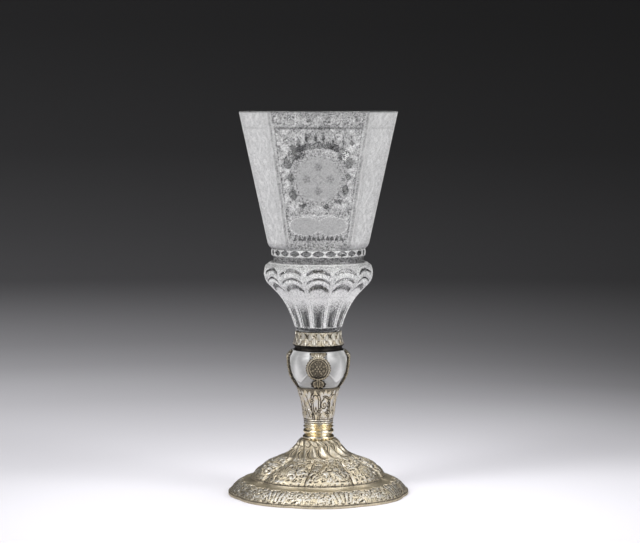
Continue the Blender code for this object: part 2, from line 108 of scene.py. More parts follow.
def row_numbers(grid):
    """Number of each point of a grid, and of the point that follows it round the axis."""
    count, columns = grid.shape[:2]
    number = np.arange(count * columns).reshape(count, columns)
    return number, np.roll(number, -1, axis=1)


def skin(name, grid, attributes=None):
    """Closed mesh over rows of points, listed up the outside. Both ends are closed by a fan."""
    count, columns = grid.shape[:2]
    points = np.concatenate([grid.reshape(-1, 3), [grid[0].mean(axis=0)], [grid[-1].mean(axis=0)]])
    number, following = row_numbers(grid)
    quads = np.stack([number[:-1], following[:-1], following[1:], number[1:]], axis=-1).reshape(-1, 4)
    bottom = np.stack([np.full(columns, count * columns), following[0], number[0]], axis=-1)
    top = np.stack([number[-1], following[-1], np.full(columns, count * columns + 1)], axis=-1)
    mesh = bpy.data.meshes.new(name)
    mesh.from_pydata(points.tolist(), [], quads.tolist() + bottom.tolist() + top.tolist())
    for title, values in (attributes or {}).items():
        layer = mesh.attributes.new(title, "FLOAT", "POINT")
        flat = np.concatenate([values.reshape(-1), [values[0].mean(), values[-1].mean()]])
        layer.data.foreach_set("value", flat.astype(np.float32))
    mesh.shade_smooth()
    return new_object(name, mesh)


def triangles_in(piece):
    return sum(len(polygon.vertices) - 2 for polygon in piece.data.polygons)


# %% [markdown]
# ## Chasing and engraving, laid flat
# A chaser works a pattern into sheet metal from drawn motifs: scrolls, leaves, flowers, shells. A glass
# engraver uses much the same ones. Here a patch of surface is laid flat, with every point's place on it
# in millimetres, and each motif raises the points near it. The same drawing can then be put on metal as
# relief or on glass as matt engraving, and it costs nothing to repeat it round the piece.


# %% A flat sheet that motifs are drawn on
class Sheet:
    """Patch laid flat: x across and z along in mm, and what is drawn on it, 0 where it is plain."""

    def __init__(self, x, z):
        self.x, self.z = np.broadcast_arrays(x, z)
        self.drawn = np.zeros(self.x.shape)

    def draw(self, centre, reach, shape):
        """Raises the points near a centre to shape(x, z), counted from the centre."""
        near = (np.abs(self.x - centre[0]) < reach) & (np.abs(self.z - centre[1]) < reach)
        value = shape(self.x[near] - centre[0], self.z[near] - centre[1])
        self.drawn[near] = np.maximum(self.drawn[near], value)

    def stroke(self, path, width, height=1.0, end_width=None):
        """Rounded ridge along a path of points, which may narrow towards its end."""
        end_width = width if end_width is None else end_width
        path = np.asarray(path, dtype=float)
        low, high = path.min(axis=0) - width, path.max(axis=0) + width
        near = ((self.x > low[0]) & (self.x < high[0]) & (self.z > low[1]) & (self.z < high[1]))
        x, z = self.x[near], self.z[near]
        best = np.full(x.shape, 1.0)
        steps = len(path) - 1
        for step, (start, end) in enumerate(zip(path[:-1], path[1:])):
            run = end - start
            share = np.clip(((x - start[0]) * run[0] + (z - start[1]) * run[1]) / (run @ run), 0, 1)
            away = np.hypot(x - start[0] - share * run[0], z - start[1] - share * run[1])
            broad = width + (end_width - width) * (step + 0.5) / steps
            best = np.minimum(best, away / broad)
        self.drawn[near] = np.maximum(self.drawn[near], height * np.sqrt(1 - best ** 2))

    def scroll(self, centre, radius, start, sweep, width=0.8, height=1.0, inner=0.22):
        """Spiral from its outer end inwards, closed by a small boss."""
        share = np.linspace(0, 1, 22)
        angle = (start + sweep * share) * deg
        reach = radius * inner ** share
        path = np.stack([centre[0] + reach * np.cos(angle), centre[1] + reach * np.sin(angle)], axis=-1)
        self.stroke(path, width, height, 0.6 * width)
        self.boss(path[-1], 1.25 * width, height)

    def boss(self, centre, radius, height=1.0):
        def shape(x, z):
            return height * np.sqrt(np.clip(1 - (x * x + z * z) / radius ** 2, 0, 1))
        self.draw(centre, radius, shape)

    def leaf(self, centre, angle, length, width, height=1.0):
        """Pointed leaf from its stalk, with a groove down its middle and cut edges."""
        c, s = math.cos(angle * deg), math.sin(angle * deg)

        def shape(x, z):
            along = np.clip((x * c + z * s) / length, 0, 1)
            across = np.abs(z * c - x * s)
            half = width * np.sin(math.pi * along ** 0.75) * (1 + 0.14 * np.cos(along * 26))
            across = across / np.maximum(half, 1e-6)
            body = np.sqrt(np.clip(1 - across ** 2, 0, 1))
            vein = 1 - 0.45 * np.exp(-np.minimum(across / 0.16, 9) ** 2)
            return height * body * vein * (half > 1e-3)
        self.draw(centre, length, shape)

    def flower(self, centre, radius, petals, height=1.0, turned=0.0):
        """Rosette of rounded petals about a boss."""
        def shape(x, z):
            away = np.hypot(x, z) / radius
            angle = np.arctan2(z, x) - turned * deg
            split = np.abs(np.cos(petals * angle / 2))
            edge = 0.62 + 0.38 * split ** 0.6
            petal = np.sqrt(np.clip(1 - (away / edge) ** 4, 0, 1)) * (0.35 + 0.65 * split ** 0.7)
            eye = 1.15 * np.sqrt(np.clip(1 - (away / 0.3) ** 2, 0, 1))
            moat = hump(away, 0.34, 0.07)
            return height * np.maximum(petal * (1 - 0.8 * moat), eye)
        self.draw(centre, radius, shape)

    def shell(self, centre, radius, ridges, height=1.0, angle=90.0, spread=80.0):
        """Fan of ridges that opens towards an angle."""
        def shape(x, z):
            away = np.hypot(x, z) / radius
            turn = np.mod(np.arctan2(z, x) / deg - angle + 180, 360) - 180
            inside = np.clip(turn / spread, -1, 1)
            ridge = np.abs(np.cos(inside * ridges * math.pi / 2))
            edge = 0.90 + 0.10 * ridge
            body = np.clip(1 - (away / edge) ** 6, 0, 1) * (np.abs(turn) < spread)
            return height * body * (0.25 + 0.75 * ridge ** 0.8) * (0.55 + 0.45 * away)
        self.draw(centre, radius, shape)

    def pad(self, centre, half_x, half_z, height=1.0):
        """Smooth oval cushion with a nearly flat top."""
        def shape(x, z):
            return height * np.sqrt(np.clip(1 - ((x / half_x) ** 2 + (z / half_z) ** 2) ** 2, 0, 1))
        self.draw(centre, max(half_x, half_z), shape)


def curls(x, z, pitch):
    """Winding ridges, 0 to 1, for the small foliage that fills the ground between motifs."""
    wave = 2 * math.pi / pitch
    u = x + 0.36 * pitch * np.sin(wave * 0.7 * z + 1.3)
    v = z + 0.36 * pitch * np.sin(wave * 0.8 * x + 0.4)
    return np.abs(np.sin(wave * u / 2) + np.sin(wave * v / 2)) / 2


# %% Relief on rows
def outward(grid):
    """Direction away from the surface at each point of a grid."""
    across = np.roll(grid, -1, axis=1) - np.roll(grid, 1, axis=1)
    direction = np.cross(across, np.gradient(grid, axis=0))
    return direction / np.maximum(np.linalg.norm(direction, axis=-1, keepdims=True), 1e-12)


def soften(field, columns, rows):
    """Mean of each point's neighbours, round the axis and along the rows."""
    wide = sum(np.roll(field, step, axis=1) for step in range(-columns, columns + 1)) / (2 * columns + 1)
    tall = np.pad(wide, ((rows, rows), (0, 0)), mode="edge")
    return sum(tall[step:step + len(field)] for step in range(2 * rows + 1)) / (2 * rows + 1)


def hollows(relief, columns, rows, depth):
    """0 on what stands out of its surroundings, 1 in what lies a depth below them."""
    return np.clip(0.5 - (relief - soften(relief, columns, rows)) / depth, 0.0, 1.0)


def ground_shade(drawn, least=0.0, most=0.95):
    """Dark of the ground left between motifs, where drawn is close to 0."""
    return most - (most - least) * smooth_step(drawn, 0.04, 0.36)


def rims(drawn):
    """1 along the edge of each motif and 0 elsewhere."""
    return smooth_step(drawn, 0.0, 0.06) * (1 - smooth_step(drawn, 0.20, 0.45))


def crevices(relief):
    """Shade that is light over most of a chased surface and dark only in its narrow hollows."""
    return 0.26 + 0.70 * smooth_step(hollows(relief, 3, 2, 0.55), 0.52, 0.86)


def lengths_along(grid):
    """How far each row lies from the first, in mm, measured over the surface."""
    mean_radius = np.hypot(grid[..., 0], grid[..., 1]).mean(axis=1)
    steps = np.hypot(np.diff(mean_radius), np.diff(grid[..., 2].mean(axis=1)))
    return np.concatenate([[0.0], np.cumsum(steps)])[:, None] / mm


# %% [markdown]
# ## Shader sums
# A finish such as chased gilt mixes several masks. Written as node links that is hard to read, so one
# small class wraps a socket and lets Python's own signs add the Math nodes. Everything else is made by
# one method that takes the node's kind, its settings and what goes into its sockets. Geometry trees take
# the same Math nodes, so the class serves them too.


# %% A socket that can be added and multiplied
class Wire:
    def __init__(self, tree, socket):
        self.tree = tree
        self.socket = socket

    def make(self, kind, inputs=(), output=0, stops=(), **settings):
        """Adds a node. inputs is a list in socket order, or a dict by name or number."""
        node = self.tree.nodes.new(kind)
        for title, value in settings.items():
            setattr(node, title, value)
        for number, (position, colour) in enumerate(stops):
            elements = node.color_ramp.elements
            element = elements[number] if number < len(elements) else elements.new(position)
            element.position = position
            element.color = (*colour, 1.0)
        named = inputs.items() if isinstance(inputs, dict) else enumerate(inputs)
        for key, value in named:
            if isinstance(value, Wire):
                self.tree.links.new(value.socket, node.inputs[key])
            elif value is not None:
                node.inputs[key].default_value = value
        return Wire(self.tree, node.outputs[output])

    def other(self, output):
        """Another output of the same node."""
        return Wire(self.tree, self.socket.node.outputs[output])

    def maths(self, operation, first, second=None):
        return self.make("ShaderNodeMath", [first, second], operation=operation)

    def __add__(self, other):
        return self.maths("ADD", self, other)

    def __radd__(self, other):
        return self.maths("ADD", other, self)

    def __sub__(self, other):
        return self.maths("SUBTRACT", self, other)

    def __rsub__(self, other):
        return self.maths("SUBTRACT", other, self)

    def __mul__(self, other):
        return self.maths("MULTIPLY", self, other)

    def __rmul__(self, other):
        return self.maths("MULTIPLY", other, self)

    def between(self, low, high):
        """0 at low and 1 at high, straight between them and kept inside."""
        return self.make("ShaderNodeMapRange", {"Value": self, "From Min": low, "From Max": high})

    def blend(self, first, second):
        """Colour first where this is 0 and second where it is 1."""
        return self.make("ShaderNodeMix", {"Factor": self, 6: first, 7: second}, output=2,
                         data_type="RGBA")


def new_finish(name):
    """Material with only its output, and a wire that carries the object's own coordinates."""
    material = bpy.data.materials.new(name)
    material.use_nodes = True
    tree = material.node_tree
    tree.nodes.clear()
    output = tree.nodes.new("ShaderNodeOutputMaterial")
    return material, Wire(tree, tree.nodes.new("ShaderNodeTexCoord").outputs["Object"]), output


def finish_with(material, output, shader):
    material.node_tree.links.new(shader.socket, output.inputs["Surface"])
    return material


# %% [markdown]
# ## Silver-gilt
# The mounts are silver with a thin layer of gold. The gold has worn off the high places, which show
# greyer, and the hollows are dark: partly old polish and tarnish, partly painted shade. Each carved piece
# carries an attribute called hollow, worked out with its relief: 0 on the highest places and 1 in the
# deepest. It also carries painted shade beside motifs, under the domes, between lumps and along edges.
# The finish reads it, so the dark stays in place from every side. A second attribute, busy, says how far
# the chaser filled a place with fine winding lines that are too small to model.


# %% Gilt finishes
def gilt(name, gold, worn, dark, roughness, grain, wear=0.5):
    """Silver-gilt: gold, worn silver where it stands out, dark in the hollows."""
    material, at, output = new_finish(name)
    hollow = at.make("ShaderNodeAttribute", output=2, attribute_name="hollow")
    busy = at.make("ShaderNodeAttribute", output=2, attribute_name="busy")
    curl = at.make("ShaderNodeTexNoise", {"Vector": at, "Scale": 480.0, "Detail": 2.0, "Distortion": 2.6})
    cloud = at.make("ShaderNodeTexNoise", {"Vector": at, "Scale": 210.0, "Detail": 4.0})
    fine = at.make("ShaderNodeTexNoise", {"Vector": at, "Scale": 1500.0, "Detail": 3.0})
    punch = at.make("ShaderNodeTexVoronoi", {"Vector": at, "Scale": 1300.0})
    depth = hollow + (cloud - 0.5) * 0.22 + (fine - 0.5) * 0.30 + (curl - 0.5) * busy * 1.1
    rubbed = (1 - depth.between(0.22, 0.50)) * cloud.between(0.60 - 0.3 * wear, 0.72 - 0.3 * wear)
    metal = rubbed.blend((*gold, 1), (*worn, 1))
    # Darkening that the hollow attribute drives: tarnish in part and painted shade in part.
    tarnish_and_shade = depth.between(0.52, 0.90)
    colour = tarnish_and_shade.blend(metal, (*dark, 1))
    relief = fine * 0.6 + punch * hollow * 0.9 - curl * busy * 4.0
    bump = at.make("ShaderNodeBump", {"Height": relief, "Strength": grain, "Distance": 0.24 * mm})
    shader = at.make("ShaderNodeBsdfPrincipled",
                     {"Base Color": colour, "Roughness": roughness + tarnish_and_shade * 0.25 + fine * 0.12,
                      "Metallic": 1 - tarnish_and_shade * 0.7, "Normal": bump})
    return finish_with(material, output, shader)


chased_gilt = gilt("chased_gilt", (0.66, 0.575, 0.42), (0.63, 0.62, 0.605), (0.04, 0.032, 0.024),
                   0.34, 0.8, 0.75)
worn_gilt = gilt("worn_gilt", (0.46, 0.40, 0.29), (0.53, 0.50, 0.44), (0.028, 0.022, 0.014),
                 0.38, 0.9, 0.9)
polished_gilt = gilt("polished_gilt", (0.84, 0.70, 0.43), (0.79, 0.73, 0.60), (0.10, 0.07, 0.03),
                     0.22, 0.2)
# Nearly black: blackened silver, darkened further as painted shade of the recess.
blackened_silver = gilt("blackened_silver", (0.018, 0.016, 0.014), (0.04, 0.036, 0.03),
                        (0.004, 0.004, 0.004), 0.50, 0.6)
print("gilt finishes:", chased_gilt.name, worn_gilt.name, polished_gilt.name, blackened_silver.name)

# %% [markdown]
# ## Glass
# Clear glass is one shader with plain values: full transmission and the refraction of potash glass. Wheel
# engraving leaves a matt surface that scatters the light. Its cuts look white where they are dense and
# grey where they are thin or polished again. The skin mixes clear and matt by an attribute called frost:
# 0 is clear, 0.3 a thin grey cut and 1 the whitest matt. A second attribute, busy, says how far a fine
# pattern of small curling cuts breaks the frost up. Old scratches lie over it all.

# %% Glass finish
CLEAR = {"Base Color": (0.985, 0.99, 0.99, 1), "Transmission Weight": 1.0, "IOR": 1.5}


def glass_finish(name, cut_scale, whitest, full, most):
    """Glass that is clear where frost is 0 and matt where it is more.

    At a frost of full and above, a share most of the surface is matt.
    """
    material, at, output = new_finish(name)
    frost = at.make("ShaderNodeAttribute", output=2, attribute_name="frost")
    busy = at.make("ShaderNodeAttribute", output=2, attribute_name="busy")
    cuts = at.make("ShaderNodeTexNoise",
                   {"Vector": at, "Scale": cut_scale, "Detail": 2.5, "Distortion": 2.4})
    specks = at.make("ShaderNodeTexVoronoi", {"Vector": at, "Scale": 2.1 * cut_scale})
    cloud = at.make("ShaderNodeTexNoise", {"Vector": at, "Scale": 45.0, "Detail": 4.0})
    pattern = (cuts * 0.9 + specks * 0.35).between(0.40, 0.80)
    level = frost - (pattern - 0.5) * busy + (cloud - 0.5) * frost * 0.22
    chalk = level.between(0.0, 1.0).blend((0.03, 0.03, 0.032, 1), (whitest, whitest, 0.99 * whitest, 1))
    bump = at.make("ShaderNodeBump", {"Height": cuts, "Strength": 0.35, "Distance": 0.1 * mm})
    clear = at.make("ShaderNodeBsdfPrincipled", {**CLEAR, "Roughness": 0.02})
    matt = at.make("ShaderNodeBsdfPrincipled",
                   {"Base Color": chalk, "Roughness": 0.55, "Transmission Weight": 0.12, "IOR": 1.5,
                    "Normal": bump})
    mask = frost.between(0.0, full) * most
    return finish_with(material, output, at.make("ShaderNodeMixShader", [mask, clear, matt]))


engraved_glass = glass_finish("engraved_glass", 620.0, 0.92, 0.28, 0.94)
clear_glass = glass_finish("clear_glass", 240.0, 0.92, 1.0, 0.72)
print("glass finishes:", engraved_glass.name, clear_glass.name)


# %% Dress a piece
def dress(piece, finish, node):
    """Gives a finished piece its material, its body and the node it stands for."""
    piece.data.materials.clear()
    piece.data.materials.append(finish)
    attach(piece, "root")
    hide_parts(node)
    print(piece.name, "has", triangles_in(piece), "triangles and stands for", node)
    return piece


# %% [markdown]
# ## The cup: where its parts lie
# The cup is one piece of glass: a faceted bowl, a ring cut with small lozenges, a groove, a shoulder cut
# like scales and a fluted neck. Its ends come from the frame, and the steps between are real sizes.

# %% Sizes of the cup
seat_gap = 0.3 * mm
cup_low, cup_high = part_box("glass_cup")
rim_height = cup_high.z
tenon_base = cup_low.z
neck_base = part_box("neck_collar")[1].z + seat_gap
rim_rounding = 0.7 * mm
rim_half_width = 48.8 * mm
bowl_base_half_width = 31.4 * mm
tenon_radius = 11.0 * mm
neck_radius = 13.8 * mm
flare_height = 37.0 * mm
shoulder_radius = 33.7 * mm
shoulder_rise = 5.8 * mm
shoulder_edge_radius = 30.8 * mm
groove_height = 4.6 * mm
groove_radius = 28.0 * mm
cut_ring_height = 5.0 * mm
cut_ring_radius = 29.6 * mm
bowl_base_rise = 3.2 * mm
front_edge = 36.6 * deg
side_edge = 67.9 * deg
flutes = 12
cup_columns = 36 * flutes
cup_turn = turns(cup_columns)

shoulder_height = neck_base + flare_height
shoulder_top = shoulder_height + shoulder_rise
groove_top = shoulder_top + groove_height
cut_ring_top = groove_top + cut_ring_height
bowl_base = cut_ring_top + bowl_base_rise
bowl_slope = (rim_half_width - bowl_base_half_width) / (rim_height - bowl_base)
print("the bowl stands from", round(bowl_base / mm, 1), "to", round(rim_height / mm, 1), "mm")

# %% [markdown]
# ## The flare and its cutting
# Twelve hollow flutes rise from the neck and end in three rows of arches, one over the other, as the
# cutter's wheel leaves them. Rows of points that bend with the arches keep every arch a clean edge. The
# outline is a cubic curve with two handles.

# %% Outline of the flare
flare_radii, flare_heights = cubic(np.linspace(0, 1, 200), (neck_radius, neck_base),
                                   (shoulder_radius, shoulder_height), ((0.412, 0.808), (1.0, 0.703)))


def flare_half_width(height):
    rise = np.clip((height - shoulder_height) / shoulder_rise, 0.0, 1.0)
    over = shoulder_edge_radius + (shoulder_radius - shoulder_edge_radius) * np.sqrt(1 - rise ** 2)
    return np.where(height > shoulder_height, over, np.interp(height, flare_heights, flare_radii))


# %% Rows of the flare
def fluted_row(rise, arch, scoop):
    """Row at a rise over the neck, lifted by arch in each flute and hollowed by scoop."""
    across = sawtooth(cup_turn, flutes)
    hollow = 1 - across ** 2
    height = neck_base + (rise + arch * hollow) * flare_height
    chord = flare_half_width(height) / np.cos(across * math.pi / flutes)
    return place(cup_turn, chord - scoop * hollow, height)


def flare_rows():
    """Flutes and three rows of arches, with the frost of each point.

    A course says where it starts (rise, arch, scoop), its frost and how dark its crescent is.
    """
    # A frost over 1 on the lowest row of arches is painted light that keeps their downward faces whitest.
    courses = [(0.078, 0.0, 0.0, 0.8, 0.0), (0.088, 0.0, 0.7 * mm, 0.0, 0.0),
               (0.14, 0.0, 1.1 * mm, 0.0, 0.0), (0.3, 0.0, 1.1 * mm, 0.08, 0.0),
               (0.46, 0.0, 1.15 * mm, 0.65, 0.0), (0.575, 0.03, 1.2 * mm, 1.1, 0.0),
               (0.585, 0.035, 0.3 * mm, 1.0, 1.0), (0.715, 0.14, 1.3 * mm, 0.98, 0.0),
               (0.727, 0.14, -0.1 * mm, 0.9, 1.0), (0.85, 0.10, 1.3 * mm, 0.98, 0.0),
               (0.862, 0.10, -0.1 * mm, 0.82, 1.0), (1.01, 0.09, 1.2 * mm, 0.98, 0.0),
               (1.022, 0.09, -0.1 * mm, 0.9, 0.0)]
    across = np.abs(sawtooth(cup_turn, flutes))
    hollow = 1 - across ** 2
    streaks = 0.5 + 0.5 * np.sin(84 * cup_turn + 2 * np.sin(7 * cup_turn))
    # Painted highlight: frost is raised in streaks towards the ridges of the lower flutes, so that their
    # clear glass shows white.
    painted_flute_highlight = 0.95 * smooth_step(0.85 * across + 0.35 * streaks, 0.50, 0.95)
    rows = []
    frost = []
    for low, high in zip(courses, courses[1:]):
        steps = max(1, round((high[0] - low[0]) * 48))
        for share in np.arange(steps) / steps:
            rise, arch, scoop = (a + (b - a) * share for a, b in zip(low[:3], high[:3]))
            rows.append(fluted_row(rise, arch, scoop))
            crescent = low[4] * smooth_step(share, 0.46, 0.74) * smooth_step(hollow, 0.15, 0.50)
            matt = (low[3] + (0 if low[4] else high[3] - low[3]) * share) * (1 - crescent)
            frost.append(np.maximum(matt, painted_flute_highlight) if rise < 0.57 else matt - 0.12 * streaks)
    last = fluted_row(*courses[-1][:3])
    flat = place(cup_turn, shoulder_edge_radius, shoulder_top)
    # The last row, the shoulder's edge, has a frost of 0.9 as a painted highlight along the polished edge.
    for share, matt in ((0.0, 0.8), (0.4, 0.62), (0.8, 0.55), (1.0, 0.9)):
        rows.append(last + (flat - last) * share)
        frost.append(matt + 0 * cup_turn)
    return rows, frost


# %% [markdown]
# ## The cut ring and the bowl
# The ring between groove and bowl has 24 small lozenges. The bowl has eight flat facets: a broad one in
# front and at the back, two at the sides and four between. The columns of points are crowded a little
# towards the broad facets, and the facets' edges fall on columns, so that they stay crisp.


# %% Rows of the ring
def plain_row(radius, height):
    return place(cup_turn, radius, height)


def ring_rows():
    plain = 0 * cup_turn
    rows = [plain_row(shoulder_edge_radius - 0.5 * mm, shoulder_top + 0.3 * mm),
            plain_row(groove_radius + 0.5 * mm, shoulder_top + 0.5 * mm)]
    frost = [plain + 0.6, plain + 0.22]
    for share in (0.25, 0.5, 0.75, 0.97):
        rows.append(plain_row(groove_radius + 0.4 * mm * (2 * share - 1) ** 2,
                              shoulder_top + share * groove_height))
        frost.append(plain + 0.19 + 0.25 * (share > 0.9))
    lozenge = np.abs(sawtooth(cup_turn, 2 * flutes))
    for share in np.linspace(0, 1, 11):
        belly = 0.45 * mm * math.sin(math.pi * share)
        inside = np.clip(0.94 - lozenge ** 1.3 - abs(2 * share - 1) ** 1.6, 0.0, 0.2) / 0.2
        radius = cut_ring_radius - 0.45 * mm + belly - 0.75 * mm * inside
        rows.append(place(cup_turn, radius, groove_top + share * (cut_ring_height - 0.9 * mm)))
        frost.append(0.88 - 0.84 * inside)
    rows.append(plain_row(cut_ring_radius - 0.8 * mm, cut_ring_top - 0.6 * mm))
    rows.append(plain_row(cut_ring_radius + 0.2 * mm, cut_ring_top - 0.3 * mm))
    return rows, frost + [plain + 0.25, plain + 0.85]


# %% Rows of the bowl
def bowl_turns():
    """Turns of the columns, moved so that the facets' edges fall on columns."""
    quarter = cup_columns // 4
    stops = np.array([0, 54, 86, quarter]) / quarter * math.pi / 2
    edges = np.array([0, front_edge, side_edge, math.pi / 2])
    inside = np.mod(cup_turn, math.pi)
    folded = np.interp(np.minimum(inside, math.pi - inside), stops, edges)
    return cup_turn - inside + np.where(inside > math.pi / 2, math.pi - folded, folded)


def facet_share(turn):
    """Radius of the faceted outline as a share of the half-width at the sides."""
    inside = np.mod(turn, math.pi)
    folded = np.minimum(inside, math.pi - inside)
    middle = (front_edge + side_edge) / 2
    front = math.cos(front_edge) / np.cos(folded)
    oblique = math.cos(middle - front_edge) / np.cos(folded - middle)
    side = math.sin(side_edge) / np.cos(math.pi / 2 - folded)
    share = np.where(folded <= front_edge, front, np.where(folded <= side_edge, oblique, side))
    return share / math.sin(side_edge)


def bowl_row(half_width, height, roundness=0.0):
    turn = bowl_turns() * (1 - roundness) + cup_turn * roundness
    faceted = half_width * facet_share(turn)
    return place(turn, faceted * (1 - roundness) + half_width * roundness, height)


def bowl_rows():
    rows = []
    overhang = bowl_base_half_width - cut_ring_radius
    for share in (0.0, 0.15, 0.35, 0.6, 0.85):
        reach = cut_ring_radius + overhang * math.sqrt(1 - (1 - share) ** 2)
        rows.append(bowl_row(reach, cut_ring_top + share * bowl_base_rise, 1 - share ** 0.4))
    for height in np.linspace(bowl_base, rim_height - rim_rounding, 122):
        rows.append(bowl_row(bowl_base_half_width + bowl_slope * (height - bowl_base), height))
    rows.append(bowl_row(rim_half_width - 0.3 * rim_rounding, rim_height - 0.25 * rim_rounding))
    rows.append(bowl_row(rim_half_width - rim_rounding, rim_height))
    return rows


# %% [markdown]
# ## The hollow
# Inside, the cup is smooth: an oval funnel that goes down into the shoulder and ends round. Its wall is
# about 3 mm at the rim and more at the base, as in the solid.

# %% Rows of the hollow
rim_wall = 3.3 * mm
base_wall = 4.4 * mm
cavity_depth = 33.3 * mm
oval_power = 2.6
front_share = math.cos(front_edge) / math.sin(side_edge)


def oval_row(side, front, height):
    across = np.abs(np.sin(cup_turn) / side) ** oval_power
    along = np.abs(np.cos(cup_turn) / front) ** oval_power
    return place(cup_turn, (across + along) ** (-1 / oval_power), height)


def hollow_rows():
    rim_side, rim_front = rim_half_width - rim_wall, rim_half_width * front_share - rim_wall
    side, front = bowl_base_half_width - base_wall, bowl_base_half_width * front_share - base_wall
    rows = [oval_row(rim_side + 0.35 * mm, rim_front + 0.35 * mm, rim_height),
            oval_row(rim_side, rim_front, rim_height - rim_rounding)]
    for share in (0.33, 0.67, 1.0):
        rows.append(oval_row(rim_side + share * (side - rim_side), rim_front + share * (front - rim_front),
                             rim_height - rim_rounding + share * (bowl_base - rim_height + rim_rounding)))
    for share in (0.12, 0.24, 0.36, 0.48, 0.6, 0.71, 0.81, 0.89, 0.95, 0.985):
        narrow = math.sqrt(1 - share ** 1.3)
        rows.append(oval_row(side * narrow, front * narrow, bowl_base - share * cavity_depth))
    return rows


# %% [markdown]
# ## The engraving
# The front facet carries a frieze under the rim, a coat of arms of no one's: a round shield under a
# leafy coronet, among scrolls, over a bracket-shaped base. The other facets have a rising stem with
# leaves. The matt cuts stand on a ground that is cut more thinly, and dark clear glass is left round the
# arms, along the borders and in small spots. What is drawn is a value from 0 to 1 for every point.


# %% Border lines
def border(frost, x, z, edge):
    """Lines that frame a facet: three beside its edges, one under the frieze and one at the rim."""
    broken = 0.14 * np.sin(2.3 * z + 3 * np.sin(0.9 * z + 0.2 * x)) + 0.06 * np.sin(5.3 * z)
    frost = np.where(np.abs(edge - 1.5) < 0.45, 0.38 + broken, frost)
    frost = np.where(np.abs(edge - 2.4) < 0.40, 0.60, frost)
    frost = np.where(np.abs(edge - 3.3) < 0.40, 0.34 - broken, frost)
    frost = np.where((np.abs(z - 229.0) < 0.45) & (edge > 3.3), 0.22, frost)
    return np.where(z > 238.3, 0.55, frost)


# %% Matt strokes of the arms and the scrolls about them
def arms_strokes(x, z):
    """What stands whitest on a broad facet. Both halves are the same."""
    cuts = Sheet(np.abs(x), z)
    for centre, radius, start, sweep in (
            ((19.5, 209.0), 5.6, -60, 330), ((20.0, 195.5), 5.4, 80, -300), ((16.5, 183.0), 4.6, -30, 320),
            ((12.5, 223.0), 3.6, 200, -300), ((23.5, 220.5), 3.8, 20, 310), ((17.5, 173.5), 3.4, 200, 300)):
        cuts.scroll(centre, radius, start, sweep, 1.0)
    for centre, angle, length in (
            ((17.0, 214.5), 35, 8.0), ((21.5, 203.5), -20, 6.0), ((17.5, 189.0), -50, 6.5),
            ((9.5, 183.5), -35, 6.0), ((25.5, 212.0), 80, 7.0), ((14.5, 178.5), 60, 5.0),
            ((21.0, 187.0), -75, 7.0), ((5.5, 186.5), 200, 4.0), ((18.0, 201.0), 60, 5.0),
            ((22.0, 225.5), 140, 6.5), ((7.0, 227.0), 30, 5.0), ((27.0, 223.5), 95, 5.0)):
        cuts.leaf(centre, angle, length, 0.30 * length)
    for middle, height, angle in ((6.0, 217.5, 120), (12.5, 216.0, 60), (17.0, 211.5, 150),
                                  (9.0, 213.8, -20)):
        cuts.leaf((middle, height), angle, 4.6, 1.1)
    for middle, height in ((2.5, 220.5), (9.6, 220.2), (4.6, 214.6), (14.2, 219.6)):
        cuts.boss((middle, height), 0.8)
    cuts.stroke([(0.0, 216.4), (6.0, 215.8), (12.5, 213.2)], 0.6)
    cuts.shell((0.0, 177.5), 5.2, 7)
    cuts.stroke([(0.0, 175.2), (4.0, 176.0), (9.0, 175.6), (14.0, 173.0), (16.2, 168.5),
                 (14.0, 164.6)], 0.6)
    cuts.flower((0.0, 233.5), 3.2, 8)
    cuts.stroke([(13.8, 229.6), (13.8, 237.8)], 0.5)
    for middle, angle in ((18.6, 200), (24.6, -20), (8.4, 200)):
        cuts.scroll((middle, 233.6), 2.6, angle, 330, 0.6)
    for place_x, angle in ((21.6, 95), (4.6, 20), (11.6, 75), (28.0, 100)):
        cuts.leaf((place_x, 231.6), angle, 4.6, 1.1)
    return cuts.drawn


# %% The front facet
shield_height = 198.0
shield_radius = 14.0


def from_shield(x, z):
    """Distance from the middle of the shield, which is a little narrower than high."""
    return np.hypot(x / 0.96, z - shield_height)


def panel_reach(x, z):
    """1 on the outline of the two-lobed base panel, and less inside it."""
    return np.hypot((np.abs(x) - 8.0) / 9.0, (z - 169.3) / 5.4)


def arms_shadows(x, z):
    """Places left nearly clear: the mantling with its spikes, and patches round the shield."""
    dark = Sheet(x, z)
    for spike, height, length in (
            (-11.5, 219.0, 5.0), (-6.8, 220.0, 6.6), (-1.4, 220.5, 6.2), (2.8, 220.5, 6.4),
            (8.9, 219.5, 6.8), (14.0, 217.5, 5.0)):
        dark.leaf((spike, height), 90 - spike, length, 1.1)
    dark.stroke([(-18.5, 206.5), (-15.0, 213.5), (-8.0, 217.6), (0.0, 218.6), (8.0, 218.2), (14.5, 215.0),
                 (18.5, 207.5)], 2.6, 1.0)
    for middle, height, half_x, half_z in (
            (-13.0, 214.6, 5.6, 5.2), (15.5, 212.6, 4.4, 4.0), (18.6, 208.0, 2.4, 3.6),
            (-19.0, 208.5, 2.2, 4.0), (-16.8, 199.0, 2.2, 2.6), (-15.4, 188.6, 2.6, 3.8),
            (16.4, 191.4, 2.0, 3.4), (12.6, 184.4, 3.0, 1.6), (-9.6, 182.0, 3.2, 1.4),
            (4.4, 181.0, 2.2, 1.2), (18.0, 199.6, 1.6, 2.4), (-19.6, 221.5, 1.8, 1.4),
            (20.4, 220.0, 1.8, 1.6), (-6.0, 233.2, 1.5, 1.2), (6.4, 232.4, 1.4, 1.0),
            (-17.6, 234.4, 1.8, 1.0), (17.0, 231.8, 1.6, 1.0), (-23.5, 232.0, 1.6, 1.2),
            (24.0, 234.0, 1.6, 1.2)):
        dark.pad((middle, height), half_x, half_z)
    return dark.drawn


